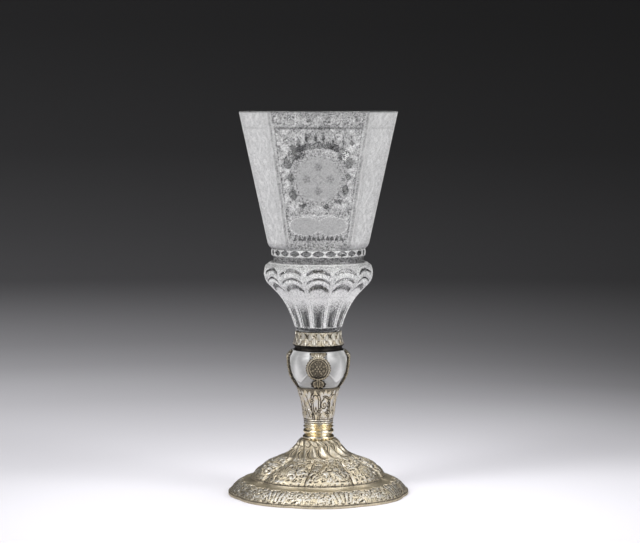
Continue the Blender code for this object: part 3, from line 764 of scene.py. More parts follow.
def coat_of_arms(x, z, edge):
    """Frost of the broad facets; edge is how far a point lies inside the facet's edge."""
    drawn = arms_strokes(x, z)
    away = from_shield(x, z)
    spots = 0.45 * (np.sin(x * 1.9 + 2.0 * np.sin(z * 0.7)) * np.sin(z * 1.7 + x * 0.4) > 0.55)
    ragged = smooth_step(curls(x, z, 1.8), 0.05, 0.36)
    shadows = arms_shadows(x, z) * (0.55 + 0.45 * ragged)
    ground = 0.48 - 0.47 * np.maximum(shadows, spots)
    frost = ground + (0.72 - ground) * drawn ** 0.7 * (1 - 0.9 * shadows)
    charges = Sheet(np.abs(x), np.abs(z - shield_height))
    charges.flower((7.2, 0.0), 2.7, 5)
    charges.flower((0.0, 7.4), 2.7, 5)
    charges.stroke([(0.0, 3.4), (3.4, 0.0)], 0.5, 0.4)
    wavy = away + 0.5 * np.cos(4 * np.arctan2(z - shield_height, x)) + 0.35 * np.sin(1.7 * x + 1.1 * z)
    on_shield = smooth_step(wavy, shield_radius, shield_radius - 2.4)
    frost = frost + (0.475 - 0.22 * charges.drawn - frost) * on_shield
    frost = np.where(panel_reach(x, z) < 1, 0.47, frost)
    frost = np.where(np.abs(panel_reach(x, z) - 1.05) < 0.05, 0.70, frost)
    tooth = np.abs(2 * np.mod(x / 2.8 + 0.5, 1) - 1)
    row_of_teeth = (z > 160.2) & (z < 163.6 - 3.2 * tooth) & (edge > 4.5)
    frost = np.where((z > 229.5) & (frost > 0.3), frost - 0.05, frost)
    return border(np.where(row_of_teeth, 0.12, frost), x, z, edge)


def busy_cuts(x, z, edge):
    """How strongly the small cuts break up a broad facet: less on the shield and the base panel."""
    quiet = (from_shield(x, z) < shield_radius) | (panel_reach(x, z) < 1)
    return 0.14 + np.where(quiet, 0.10, 0.52) * smooth_step(edge, 0.8, 3.6)


# %% The other facets
def rising_stem(x, z, edge):
    """Stem that winds up a narrow facet, with leaves and scrolls on both sides."""
    repeat = 27.0
    low = np.mod(z - 160.0, repeat)
    cuts = Sheet(x, low)
    heights = np.linspace(-2, repeat + 2, 24)
    cuts.stroke(np.stack([2.6 * np.sin(heights * 2 * math.pi / repeat), heights], axis=-1), 0.8)
    for side, start in ((1, 4.0), (-1, 4.0 + repeat / 2)):
        for lift in (-repeat, 0.0, repeat):
            cuts.scroll((side * 6.5, start + 4.0 + lift), 4.0, -90 + 90 * (1 - side), side * 320, 0.9)
            cuts.leaf((side * 2.0, start + 9.0 + lift), 90 - side * 50, 6.5, 1.9)
            cuts.leaf((-side * 1.5, start + 3.0 + lift), 90 + side * 60, 6.0, 1.8)
            cuts.leaf((side * 9.0, start + 8.5 + lift), 90 - side * 30, 5.5, 1.5)
    outline = np.clip(cuts.drawn * 6, 0, 1) * (cuts.drawn < 0.25)
    scratches = 0.04 * np.sin(x * 5.1 + np.sin(z * 0.11)) * np.sin(x * 1.3 + z * 0.05)
    winding = 0.10 * smooth_step(curls(x, z, 2.2), 0.0, 0.25) - 0.08
    frost = 0.70 + 0.12 * cuts.drawn ** 0.7 - 0.18 * outline + scratches + 1.4 * winding
    return 0.75 * frost + 0.25 * border(frost, x, z, edge)


# %% Frost of the bowl
def bowl_frost(grid):
    """Frost of every point of the bowl's outside, and how busy the small cuts are there."""
    turn = np.arctan2(grid[..., 0], -grid[..., 1])
    radius = np.hypot(grid[..., 0], grid[..., 1]) / mm
    z = grid[..., 2] / mm
    frost = np.zeros(z.shape)
    busy = np.full(z.shape, 0.26)
    oblique = (front_edge + side_edge) / 2
    side_half = math.pi / 2 - side_edge
    oblique_half = (side_edge - front_edge) / 2
    facets = [(0.0, front_edge, coat_of_arms), (math.pi, front_edge, coat_of_arms),
              (math.pi / 2, side_half, rising_stem), (-math.pi / 2, side_half, rising_stem)]
    facets += [(middle, oblique_half, rising_stem)
               for middle in (oblique, -oblique, math.pi - oblique, oblique - math.pi)]
    for middle, half, draw in facets:
        away = np.mod(turn - middle + math.pi, 2 * math.pi) - math.pi
        on_facet = np.abs(away) <= half + 1e-6
        x = (radius * np.sin(away))[on_facet]
        edge = (radius * np.cos(away) * math.tan(half))[on_facet] - np.abs(x)
        frost[on_facet] = draw(x, z[on_facet], edge)
        if draw is coat_of_arms:
            busy[on_facet] = busy_cuts(x, z[on_facet], edge)
    on_bowl = smooth_step(z, bowl_base / mm - 1.0, bowl_base / mm + 0.6)
    polished_lip = 1 - smooth_step(z, rim_height / mm - 0.9, rim_height / mm - 0.5)
    return np.clip(frost * polished_lip, 0.0, 1.0) * (0.75 + 0.25 * on_bowl), busy


# %% Build the cup
def make_cup():
    neck = [plain_row(tenon_radius, tenon_base), plain_row(tenon_radius, neck_base - 0.05 * mm),
            plain_row(neck_radius, neck_base)]
    neck += [plain_row(neck_radius + 0.8 * mm * math.sin(share * math.pi / 2), neck_base + share * 2.6 * mm)
             for share in (0.3, 0.65, 1.0)]
    flare, flare_frost = flare_rows()
    ring, ring_frost = ring_rows()
    bowl = np.stack(bowl_rows())
    drawn, busy = bowl_frost(bowl)
    engraving_depth = 0.14 * mm
    bowl = bowl - outward(bowl) * (engraving_depth * drawn)[..., None]
    inside = hollow_rows()
    grid = np.concatenate([neck, flare, ring, bowl, inside])
    below = np.zeros((len(neck), cup_columns))
    above = np.zeros((len(inside), cup_columns))
    frost = np.concatenate([below, np.stack(flare_frost + ring_frost), drawn, above])
    quiet = np.full((len(grid) - len(bowl) - len(inside), cup_columns), 0.85)
    cup = skin("cup_glass", grid, {"frost": frost, "busy": np.concatenate([quiet, busy, above])})
    cup.data.set_sharp_from_angle(angle=26 * deg)
    return dress(cup, engraved_glass, "glass_cup")


cup = make_cup()

# %% [markdown]
# ## Trees that repeat and turn
# Two small geometry trees serve the metalwork. The lathe takes an outline and turns it about the axis,
# as a turner would. The wreath copies one leaf round the axis, and lets each copy stand a little
# differently, as hand work does. Both have named inputs, and end as plain meshes.


# %% Helpers for geometry trees
def new_tree(name, inputs):
    """Geometry tree with named inputs. Gives the tree, its inputs as wires and its output node."""
    tree = bpy.data.node_groups.new(name, "GeometryNodeTree")
    tree.interface.new_socket("Geometry", in_out="INPUT", socket_type="NodeSocketGeometry")
    for title, kind in inputs:
        tree.interface.new_socket(title, in_out="INPUT", socket_type="NodeSocket" + kind)
    tree.interface.new_socket("Geometry", in_out="OUTPUT", socket_type="NodeSocketGeometry")
    entry = tree.nodes.new("NodeGroupInput")
    ports = {socket.name: Wire(tree, socket) for socket in entry.outputs if socket.name}
    return tree, ports, tree.nodes.new("NodeGroupOutput")


def close_tree(tree, leave, shape, finish):
    """Ends a tree in Realize Instances and Set Material."""
    solid = shape.make("GeometryNodeRealizeInstances", [shape])
    dressed = solid.make("GeometryNodeSetMaterial", {"Geometry": solid, "Material": finish})
    tree.links.new(dressed.socket, leave.inputs[0])
    return tree


def grow(name, tree, values, seed_mesh):
    """Runs a tree on a mesh and gives the result as a plain object."""
    seed = new_object(name + "_seed", seed_mesh)
    modifier = seed.modifiers.new("shape", "NODES")
    modifier.node_group = tree
    for item in tree.interface.items_tree:
        if item.in_out == "INPUT" and item.name in values:
            modifier[item.identifier] = values[item.name]
    evaluated = seed.evaluated_get(bpy.context.evaluated_depsgraph_get())
    mesh = bpy.data.meshes.new_from_object(evaluated)
    mesh.name = name
    mesh.shade_smooth()
    bpy.data.objects.remove(seed, do_unlink=True)
    return new_object(name, mesh)


def join(piece, *others):
    """Makes one mesh of a piece and what is soldered to it."""
    chosen = [piece, *others]
    with bpy.context.temp_override(active_object=piece, selected_editable_objects=chosen):
        bpy.ops.object.join()
    return piece


# %% The lathe
def lathe_tree(finish):
    """Turns the outline held by the seed mesh: x is the radius and z the height."""
    tree, ports, leave = new_tree("lathe", [("Columns", "Int"), ("Points", "Int"), ("Weld", "Float")])
    base = ports["Geometry"]
    grid = base.make("GeometryNodeMeshGrid", [1.0, 1.0, ports["Columns"] + 1, ports["Points"]])
    where = base.make("GeometryNodeInputPosition")
    spot = base.make("ShaderNodeSeparateXYZ", [where])
    row = base.maths("ROUND", (spot.other(1) + 0.5) * (ports["Points"] - 1))
    sampled = base.make("GeometryNodeSampleIndex", {"Geometry": base, "Value": where, "Index": row},
                        data_type="FLOAT_VECTOR")
    outline = base.make("ShaderNodeSeparateXYZ", [sampled])
    turn = (spot + 0.5) * (2 * math.pi)
    x = outline * base.maths("SINE", turn)
    y = outline * base.maths("COSINE", turn) * -1.0
    position = base.make("ShaderNodeCombineXYZ", [x, y, outline.other(2)])
    moved = base.make("GeometryNodeSetPosition", {"Geometry": grid, "Position": position})
    welded = base.make("GeometryNodeMergeByDistance", {"Geometry": moved, "Distance": ports["Weld"]})
    return close_tree(tree, leave, welded, finish)


def turn_outline(name, outline, finish, columns=160):
    """Turned piece from a list of (radius, height) from the axis up and back to the axis."""
    mesh = bpy.data.meshes.new(name + "_outline")
    mesh.from_pydata([(radius, 0.0, height) for radius, height in outline], [], [])
    values = {"Columns": columns, "Points": len(outline), "Weld": 0.002 * mm}
    return grow(name, lathe_tree(finish), values, mesh)


# %% The wreath
def wreath_tree(finish):
    """Copies of one leaf round the axis, each turned a little by chance."""
    tree, ports, leave = new_tree("wreath", [("Leaf", "Object"), ("Count", "Int"), ("Offset", "Float"),
                                             ("Unevenness", "Float"), ("Seed", "Int")])
    base = ports["Geometry"]
    points = base.make("GeometryNodePoints", {"Count": ports["Count"]})
    leaf = base.make("GeometryNodeObjectInfo", {"Object": ports["Leaf"]}, output=-1)
    step = base.maths("DIVIDE", 2 * math.pi, ports["Count"])
    chance = base.make("FunctionNodeRandomValue", {2: -1.0, 3: 1.0, "Seed": ports["Seed"]}, output=1)
    turn = base.make("GeometryNodeInputIndex") * step + ports["Offset"] + chance * ports["Unevenness"]
    rotation = base.make("ShaderNodeCombineXYZ", [0.0, 0.0, turn])
    copies = base.make("GeometryNodeInstanceOnPoints",
                       {"Points": points, "Instance": leaf, "Rotation": rotation})
    return close_tree(tree, leave, copies, finish)


def wreath(name, leaf, count, offset, finish, seed):
    values = {"Leaf": leaf, "Count": count, "Offset": offset, "Unevenness": 0.7 * deg, "Seed": seed}
    result = grow(name, wreath_tree(finish), values, bpy.data.meshes.new(name + "_seed"))
    bpy.data.objects.remove(leaf, do_unlink=True)
    return result


# %% One leaf of a wreath
def make_leaf(name, half_width, radius, heights, curl, thickness=0.9 * mm):
    """Leaf that lies on a cone from its foot to its tip, as a closed solid.

    radius(height) is the cone, heights run from foot to tip and curl bends the tip outwards.
    """
    share = np.linspace(0, 1, len(heights))
    across = np.linspace(-1, 1, 11)
    crown = (0.35 + 0.65 * np.sqrt(1 - across ** 2)) * (1 - 0.35 * hump(across, 0.0, 0.14))
    half = half_width * np.clip(np.sin(math.pi * (0.22 + 0.78 * share)), 0.04, 1) ** 0.8
    rows = []
    for height, part, reach in zip(heights, share, half):
        core = radius(height)
        turn = across * reach / core
        front = core + thickness * crown + curl * part ** 3
        back = core - 0.25 * mm + 0.8 * curl * part ** 3
        rows.append(np.concatenate([place(turn, front, height), place(turn[::-1], back, height)]))
    return skin(name, np.stack(rows if heights[-1] > heights[0] else rows[::-1]))


# %% [markdown]
# ## Stem rings
# Over the foot the stem is turned: a torus, a bead, a thin ring and a lip. They catch the light as
# smooth bright bands. The outline is a list of half rounds, and the lathe turns it.

# %% Turn the stem rings
foot_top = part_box("foot")[1].z
rings_low, rings_high = (corner.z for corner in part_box("stem_rings"))


def make_stem_rings():
    core = 8.8 * mm
    outline = [(0.0, rings_low)]
    height = rings_low
    gap = 0.8 * mm
    for tall, bulge in ((2.9 * mm, 1.1 * mm), (2.9 * mm, 0.8 * mm), (1.2 * mm, 0.7 * mm),
                        (1.3 * mm, 0.5 * mm)):
        for share in np.linspace(0, 1, 13):
            swell = math.sin(math.pi * (0.04 + 0.92 * share)) ** 0.8
            outline.append((core - 0.35 * mm + (bulge + 0.35 * mm) * swell, height + share * tall))
        height += tall
        if height < rings_high - gap / 2:
            outline.append((core - 0.55 * mm, height + 0.3 * gap))
            outline.append((core - 0.55 * mm, height + 0.7 * gap))
            height += gap
    outline.append((0.0, rings_high))
    piece = turn_outline("turned_rings", outline, polished_gilt)
    return dress(piece, polished_gilt, "stem_rings")


make_stem_rings()

# %% [markdown]
# ## Seat ring and collar
# A narrow ring sits in the recess over the knop. It is nearly black: blackened silver, darkened further as
# painted shade of the recess. The collar over it is a leafy silver-gilt socket that holds the end of the
# glass. Its core is turned, and a wreath of small pointed leaves is soldered on, so the leaves are copies
# of one.

# %% Seat ring
seat_low, seat_high = (corner.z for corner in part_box("seat_ring"))
seat_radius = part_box("seat_ring")[1].x


def make_seat_ring():
    outline = [(0.0, seat_low), (seat_radius - 0.3 * mm, seat_low), (seat_radius, seat_low + 0.2 * mm)]
    for share in np.linspace(0.1, 1, 16):
        dip = 1.1 * mm * math.sin(math.pi * min(share, 0.999)) ** 0.7
        outline.append((seat_radius - 0.1 * mm - dip, seat_low + share * (seat_high - seat_low)))
    outline.append((0.0, seat_high))
    piece = turn_outline("recess_ring", outline, blackened_silver, 128)
    return dress(piece, blackened_silver, "seat_ring")


make_seat_ring()

# %% Collar
collar_low, collar_high = (corner.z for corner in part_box("neck_collar"))
collar_base_radius = seat_radius - seat_gap
collar_top_radius = 14.2 * mm
collar_leaves = 18


def collar_cone(height):
    share = (height - collar_low) / (collar_high - collar_low)
    return collar_base_radius + share * (collar_top_radius - collar_base_radius) - 0.7 * mm


def plain_ring(columns, radius, height):
    return place(turns(columns), radius, height)


def make_collar():
    columns = 288
    turn = turns(columns)[None, :]
    share = np.linspace(0, 1, 30)[:, None]
    height = collar_low + share * (collar_high - collar_low)
    x = sawtooth(turn, collar_leaves) * math.pi * 15.0 / collar_leaves
    z = (height - collar_low) / mm
    sheet = Sheet(x, z)
    sheet.leaf((0.0, 1.2), 90, 6.4, 2.2, 0.35)
    sheet.boss((2.6, 4.0), 0.8, 0.4)
    sheet.boss((-2.6, 4.0), 0.8, 0.4)
    uneven = 0.7 * curls(turn * 15.0 + 0.8 * np.sin(5 * turn), z, 2.3)
    edges = 0.55 * hump(share, 0.04, 0.05) + 0.5 * hump(share, 0.95, 0.05)
    relief = (np.maximum.reduce([sheet.drawn * 0.8, uneven, edges * (0.6 + uneven)]) + 0.1) * mm
    outside = place(turn, collar_cone(height) + relief, height)
    socket = tenon_radius + seat_gap
    inner = [plain_ring(columns, collar_top_radius - 1.0 * mm, collar_high),
             plain_ring(columns, socket, collar_high), plain_ring(columns, socket, tenon_base - seat_gap)]
    shade = np.concatenate([ground_shade(relief / mm - 0.1, 0.3), np.full((3, columns), 0.8)])
    core = skin("leafy_collar", np.concatenate([outside, inner]),
                {"hollow": shade, "busy": np.full(shade.shape, 0.7)})
    up = make_leaf("leaf_up", 1.5 * mm, collar_cone,
                   np.linspace(collar_low + 3.4 * mm, collar_high - 0.2 * mm, 13), 0.5 * mm)
    down = make_leaf("leaf_down", 1.7 * mm, collar_cone,
                     np.linspace(collar_low + 4.2 * mm, collar_low + 0.3 * mm, 13), 0.4 * mm)
    leaves = wreath("collar_leaves", up, collar_leaves, 0.0, worn_gilt, 3)
    tips = wreath("collar_tips", down, collar_leaves, math.pi / collar_leaves, worn_gilt, 4)
    return dress(join(core, leaves, tips), worn_gilt, "neck_collar")


make_collar()

# %% [markdown]
# ## The knop
# The knop is solid clear glass with four smooth lobes, pointed below, that stand between the straps. Its
# frost is set high all the same, so the lobes look milky: painted light for what the clear glass catches,
# with a painted highlight along each lobe's lower edge, painted sheen and painted dark lines in the
# creases. Its outline is half a sine up to the widest place and closes a little above it.

# %% Knop
knop_low, knop_high = (corner.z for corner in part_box("glass_knop"))
knop_height = knop_high - knop_low
knop_widest = 17.3 * mm
knop_radii = (12.0 * mm, 18.4 * mm, 16.4 * mm)
lobe_rise = 1.5 * mm


def knop_profile(height):
    """Radius of the knop under the straps."""
    base, widest, top = knop_radii
    above = np.clip(height - knop_low, 0, knop_height)
    upper = np.clip((above - knop_widest) / (knop_height - knop_widest), 0, 1)
    lower = np.clip(above / knop_widest, 0, 1)
    return np.where(above > knop_widest, widest - (widest - top) * upper ** 2,
                    base + (widest - base) * np.sin(math.pi / 2 * lower ** 0.9))


def knop_radius(turn, height):
    share = (height - knop_low) / knop_height
    lobe = (1 - np.cos(4 * turn)) / 2 * np.sqrt(np.clip(np.sin(math.pi * np.minimum(1, 0.1 + share)), 0, 1))
    return knop_profile(height) + lobe_rise * lobe


def make_knop():
    share = np.linspace(0, 1, 90)[:, None]
    turn = turns(256)[None, :]
    height = knop_low + share * knop_height
    across = np.abs(sawtooth(turn, 4, math.pi / 4))
    lobe_bottom = 0.16 + 0.55 * across ** 1.3
    tongue = smooth_step(share - lobe_bottom, -0.03, 0.03) * (1 - smooth_step(across, 0.60, 0.68))
    crisp = 0.45 * mm * (tongue - 1) * np.sin(math.pi * np.clip(share, 0.02, 0.98)) ** 0.3
    grid = place(turn, knop_radius(turn, height) + crisp, height)
    # Painted light: edge is a painted highlight along each lobe's lower edge, the sine bands are painted
    # sheen, line is painted shade in the creases at the lobes' borders, and the high frost makes a painted
    # milky glow.
    edge = hump(share - lobe_bottom, 0.03, 0.02) * (across < 0.62)
    painted_sheen = 0.14 * np.sin(7 * across + 4 * share) * tongue
    line = 0.24 * hump(across, 0.66, 0.04) + 0.12 * hump(share, lobe_bottom, 0.02)
    frost = 0.74 + 0.14 * np.maximum(tongue, across > 0.62) + 0.3 * edge + painted_sheen - line
    attributes = {"frost": np.clip(frost, 0, 1), "busy": np.full(frost.shape, 0.10)}
    return dress(skin("lobed_knop", grid, attributes), clear_glass, "glass_knop")


make_knop()

# %% [markdown]
# ## The straps
# Four silver-gilt straps hold the knop. Each is cut out of thick sheet and chased: a small shell at the
# top, an oval medallion with a dark field, a pair of brackets and a leaf at the foot. A strap is built
# flat and bent round the knop, and a row of pearls follows the medallion.

# %% Outline and chasing of a strap
medallion_height = knop_high - 9.8 * mm
medallion_half = (7.3 * mm, 7.6 * mm)


def oval(height, middle, half_height, half_width):
    return half_width * np.sqrt(np.clip(1 - ((height - middle) / half_height) ** 2, 0, None))


def strap_half_width(height):
    """Half-width with small scallops along the edges."""
    medallion = oval(height, medallion_height, medallion_half[1], medallion_half[0])
    leaf = oval(height, knop_low + 3.0 * mm, 3.0 * mm, 4.4 * mm)
    top = oval(height, knop_high, medallion_half[1] / 2, 5.2 * mm)
    brackets = 4.3 * mm * hump(height - knop_low, 6.8 * mm, 0.9 * mm)
    plain = np.maximum.reduce([np.full(height.shape, 2.4 * mm), medallion, leaf, top, brackets])
    return plain + 0.22 * mm * np.cos((height - knop_low) / mm * 2 * math.pi / 1.7)


def strap_chasing(x, z):
    """Relief of a strap in mm; x across and z over the knop's base."""
    sheet = Sheet(np.abs(x), z)
    middle = (medallion_height - knop_low) / mm
    turn = np.linspace(-90, 90, 24) * deg
    sheet.stroke(np.stack([6.3 * np.cos(turn), middle + 6.7 * np.sin(turn)], axis=-1), 0.5, 0.7)
    sheet.stroke(np.stack([5.0 * np.cos(turn), middle + 5.4 * np.sin(turn)], axis=-1), 0.3, 0.45)
    sheet.flower((0.0, middle), 2.6, 6, 0.5)
    for angle in (20, 60, 120, 160, -20, -60):
        sheet.leaf((2.4 * math.cos(angle * deg), middle + 2.6 * math.sin(angle * deg)), angle, 2.2, 0.6, 0.4)
    dots = 0.34 * np.abs(np.sin(x * math.pi / 0.8) * np.sin(z * math.pi / 0.8))
    in_field = np.hypot(x / 6.0, (z - middle) / 6.4) < 1
    sheet.shell((0.0, 18.2), 4.4, 7, 1.0)
    sheet.scroll((4.0, 20.6), 1.7, 180, 300, 0.5, 0.9)
    sheet.scroll((2.6, 6.9), 1.6, 90, -330, 0.5, 0.9)
    sheet.stroke([(0.9, 8.6), (3.4, 8.9), (4.4, 8.1)], 0.4, 0.8)
    sheet.leaf((0.0, 6.6), -90, 6.4, 1.8, 1.0)
    sheet.leaf((1.0, 5.2), -55, 3.6, 1.0, 0.8)
    sheet.leaf((0.9, 3.4), -60, 3.2, 0.9, 0.8)
    sheet.boss((0.0, 7.8), 0.9, 0.9)
    return np.where(in_field, np.maximum(sheet.drawn, dots), sheet.drawn)


# %% Pearls round the medallion
def strap_pearls(name, facing, finish):
    """Small spheres set on the points of an oval."""
    tree, ports, leave = new_tree("pearls", [("Pearl Radius", "Float")])
    base = ports["Geometry"]
    pearl = base.make("GeometryNodeMeshUVSphere", [8, 6, ports["Pearl Radius"]])
    copies = base.make("GeometryNodeInstanceOnPoints", {"Points": base, "Instance": pearl})
    solid = base.make("GeometryNodeRealizeInstances", [copies])
    dulled = base.make("GeometryNodeStoreNamedAttribute",
                       {"Geometry": solid, "Name": "hollow", "Value": 0.62})
    close_tree(tree, leave, dulled, finish)
    angle = turns(30)
    height = medallion_height + 6.9 * mm * np.sin(angle)
    turn = facing + 6.6 * mm * np.cos(angle) / knop_profile(height)
    spots = bpy.data.meshes.new(name)
    spots.from_pydata(place(turn, knop_radius(turn, height) + 1.5 * mm, height).tolist(), [], [])
    return grow(name, tree, {"Pearl Radius": 0.55 * mm}, spots)


# %% Build the straps
def make_strap(node, facing):
    height = np.linspace(knop_low, knop_high, 110)
    across = np.linspace(-1, 1, 41)
    half = strap_half_width(height)[:, None]
    level = height[:, None]
    turn = facing + half * across / knop_profile(level)
    relief = strap_chasing(half * across / mm, (level - knop_low) / mm)
    inside_edge = np.clip((1 - np.abs(across)) * 5, 0, 1)
    base = knop_radius(turn, level) + seat_gap
    front = base + (0.45 + 0.35 * inside_edge + 0.95 * relief * inside_edge) * mm
    shade = np.maximum(hollows(relief, 2, 2, 0.50), ground_shade(relief, 0.0, 0.75))
    field = np.hypot(half * across / (6.0 * mm), (level - medallion_height) / (6.4 * mm)) < 1
    low = level < knop_low + 9.0 * mm
    # The medallion's field is dark in its own colour. The lower part is made darker, and painted shade
    # darkens the side edges, which dims their reflections.
    shade = np.clip(shade + 0.36 * field + 0.32 * low + 0.3 * (np.abs(across) > 0.86), 0, 1)
    levels = level + 0 * across
    grid = np.concatenate([place(turn, front, levels), place(turn, base, levels)[:, ::-1]], axis=1)
    # The back, against the glass, gets an even darker tone as painted shade.
    hollow = np.concatenate([shade, np.full(shade.shape, 0.6)], axis=1)
    piece = skin("chased_" + node, grid, {"hollow": hollow, "busy": np.full(grid.shape[:2], 0.35)})
    pearls = strap_pearls(node + "_pearls", facing, worn_gilt)
    return dress(join(piece, pearls), worn_gilt, node)


for number, node in enumerate(("strap_front", "strap_right", "strap_back", "strap_left")):
    make_strap(node, number * math.pi / 2)

# %% [markdown]
# ## The calyx
# Under the knop a sleeve opens like a bud. It is chased all round: plain upright panels with an arch
# over them, and between the panels volutes on a matt ground, every other one with a band of lozenges.
# Its upper edge is cut into leaf tips. The sleeve is drawn flat, one sixth at a time.

# %% Chasing of the calyx
calyx_low, calyx_high = (corner.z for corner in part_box("stem_calyx"))
calyx_height = calyx_high - calyx_low
panel_turn = -9 * deg
calyx_panels = 6


def calyx_radius(turn, share):
    swell = 0.55 * share ** 2 + 0.45 * share ** 3 + 0.12 * np.sin(math.pi * share)
    leaf = np.cos(8 * turn) * np.sqrt(np.clip(np.sin(math.pi * share), 0, 1))
    return (9.2 + 4.2 * swell + 0.25 * leaf) * mm


def calyx_panel(x, z):
    """Upright plain panel under an arch, with leaves beside the arch: what is raised, and cut lines."""
    raised, lines = Sheet(np.abs(x), z), Sheet(np.abs(x), z)
    lines.stroke([(1.4, 2.2), (1.9, 9.0), (2.4, 14.6), (1.7, 17.0), (0.0, 18.0)], 0.50)
    lines.stroke([(2.7, 2.4), (3.2, 9.0), (3.9, 14.0), (3.3, 17.6), (1.3, 19.4)], 0.44)
    lines.stroke([(0.0, 5.4), (1.0, 7.4), (0.0, 10.2)], 0.40)
    raised.leaf((0.0, 16.2), 90, 5.0, 1.5, 0.9)
    raised.boss((0.0, 3.6), 0.9, 0.6)
    raised.leaf((5.2, 15.4), 100, 5.4, 1.8, 0.9)
    raised.leaf((7.6, 16.6), 85, 4.6, 1.5, 0.8)
    for height in (0.9, 2.1):
        lines.stroke([(-1.0, height), (9.5, height)], 0.34)
    for height in (5.2, 7.4, 9.6, 11.8):
        lines.stroke([(3.3, height), (4.4, height + 1.2)], 0.28)
    return raised.drawn, lines.drawn


def calyx_volute(x, z):
    """Volute with arcs about it, over a small shell."""
    raised, lines = Sheet(x, z), Sheet(x, z)
    lines.scroll((0.0, 11.4), 3.9, 100, 520, 0.50, 1.0, 0.20)
    for reach in (4.8, 5.9):
        arc = np.linspace(-80, 110, 14) * deg
        lines.stroke(np.stack([reach * np.cos(arc), 11.4 + reach * np.sin(arc)], axis=-1), 0.42)
    raised.shell((-0.6, 7.6), 5.0, 7, 0.8, -90, 60)
    raised.leaf((-3.0, 14.2), 120, 4.6, 1.4, 0.8)
    lines.scroll((-4.4, 7.6), 2.0, 60, 420, 0.34)
    lines.scroll((4.2, 4.8), 1.7, 200, -400, 0.30)
    return raised.drawn, lines.drawn


def calyx_band(x, z):
    """Slanting band of lozenges between two lines, with a scroll on each side."""
    raised, lines = Sheet(x, z), Sheet(x, z)
    lines.stroke([(-4.4, 16.8), (-2.2, 11.0), (1.2, 3.6)], 0.50)
    lines.stroke([(-0.6, 17.6), (1.6, 11.6), (4.6, 4.8)], 0.50)
    lines.stroke([(-5.6, 14.4), (-3.5, 9.2), (-0.6, 3.2)], 0.38)
    for step in range(5):
        raised.flower((-2.2 + 1.15 * step, 15.6 - 2.7 * step), 1.35, 4, 0.9, 45)
    lines.scroll((-3.0, 6.0), 2.6, 200, -460, 0.34)
    lines.scroll((4.4, 13.2), 2.4, 20, 460, 0.34)
    return raised.drawn, lines.drawn


# %% Build the calyx
def make_calyx():
    columns = 288
    share = np.linspace(0, 1, 116)[:, None]
    turn = turns(columns)[None, :]
    base_radius = calyx_radius(turn, share)
    sector = 2 * math.pi / calyx_panels
    half_sector = sector / 2 * base_radius / mm
    z = share * calyx_height / mm
    at_panel = 1.2 * half_sector * sawtooth(turn, calyx_panels, panel_turn)
    between = 1.4 * half_sector * sawtooth(turn, calyx_panels, panel_turn + sector / 2)
    odd = np.floor(np.mod(turn - panel_turn, 2 * math.pi) / sector) % 2 > 0.5
    raised, lines = (np.maximum(panel, np.where(odd, band, volute)) for panel, band, volute in
                     zip(calyx_panel(at_panel, z), calyx_band(between, z), calyx_volute(between, z)))
    veins = 1 - smooth_step(curls(11.0 * turn, z, 2.6), 0.02, 0.12)
    lines = np.maximum(lines, 0.5 * veins * (np.abs(at_panel) > 3.4))
    fade = np.clip(np.minimum(share, 1 - share) * 20, 0, 1)
    tips = 0.5 * np.abs(np.cos(8 * (turn - panel_turn))) * smooth_step(share, 0.9, 1.0)
    radius = base_radius + ((0.45 * raised - 0.5 * lines) * fade + tips) * mm
    outlines = np.maximum(lines, 0.8 * rims(raised))
    gaps = 0.75 * (smooth_step(raised, 0.0, 0.1) < 0.5) * (share > 0.80)
    shade = np.clip(0.25 + 0.75 * np.maximum(outlines, gaps), 0, 1)
    piece = skin("chased_calyx", place(turn, radius, calyx_low + share * calyx_height),
                 {"hollow": shade, "busy": 0.16 + 0 * shade})
    return dress(piece, chased_gilt, "stem_calyx")


make_calyx()

# %% [markdown]
# ## The foot
# The foot is raised from sheet silver: a bell with swirling tongues, eight domed lobes full of flowers
# and scrolls, a smooth gilt cove and a sloping flange with shells. Its outline and lobes are the solid's
# own; the chasing is drawn flat for each zone and laid over them. The sheet's smooth underside closes it.

# %% Outline of the foot
foot_top_radius = 11.3 * mm
bell_radius = foot_top_radius + 10.2 * mm
dome_radius = bell_radius + 20.8 * mm
cove_radius = dome_radius + 4.2 * mm
foot_radius = cove_radius + 10.1 * mm
rim_top = 1.8 * mm
flange_top = rim_top + 7.1 * mm
dome_base = flange_top + 1.3 * mm
dome_top = dome_base + 13.8 * mm
foot_sheet = 1.2 * mm
lobes = 8
gadroons = 16
bell_swirl = 24
flange_turn = 16.4 * deg
foot_columns = 720
foot_turn = turns(foot_columns)[None, :]


def lobe_turn(turn, radius):
    """Turn counted from a lobe's middle line. The lobes are turned a little, and swirl inwards."""
    inward = (foot_radius - radius) / (foot_radius - bell_radius)
    return turn - (5.6 + 9.0 * inward) * deg


def valley(turn, radius):
    return np.abs(sawtooth(lobe_turn(turn, radius), lobes)) ** 2.5


def bell_rows(share, underside=False):
    radius, height = cubic(share, (foot_top_radius, foot_top), (bell_radius, dome_top),
                           ((0.12, 0.25), (0.51, 0.75)))
    gadroon = -1.0 if underside else np.cos(gadroons * (foot_turn - bell_swirl * deg * share))
    swell = 0.55 * mm * np.sin(math.pi * share) * gadroon
    return place(foot_turn, radius + swell, height + swell)


def dome_rows(share):
    radius, height = cubic(share, (bell_radius, dome_top), (dome_radius, dome_base),
                           ((0.26, 0.27), (0.70, 0.22)))
    deep = valley(foot_turn, radius)
    return place(foot_turn, radius - 2.4 * mm * deep * share ** 2,
                 height - 3.2 * mm * deep * np.sin(math.pi * share))


def cove_rows(share):
    radius = dome_radius + share * (cove_radius - dome_radius)
    notch = 2.4 * mm * valley(foot_turn, radius) * (1 - share)
    return place(foot_turn, radius - notch, flange_top + 1.3 * mm * (1 - share) ** 2)


def flange_rows(share):
    radius = cove_radius + share * (foot_radius - cove_radius)
    scallop = 1.5 * mm * valley(foot_turn, radius) * share
    return place(foot_turn, radius - scallop, rim_top + (flange_top - rim_top) * (1 - share ** 2))


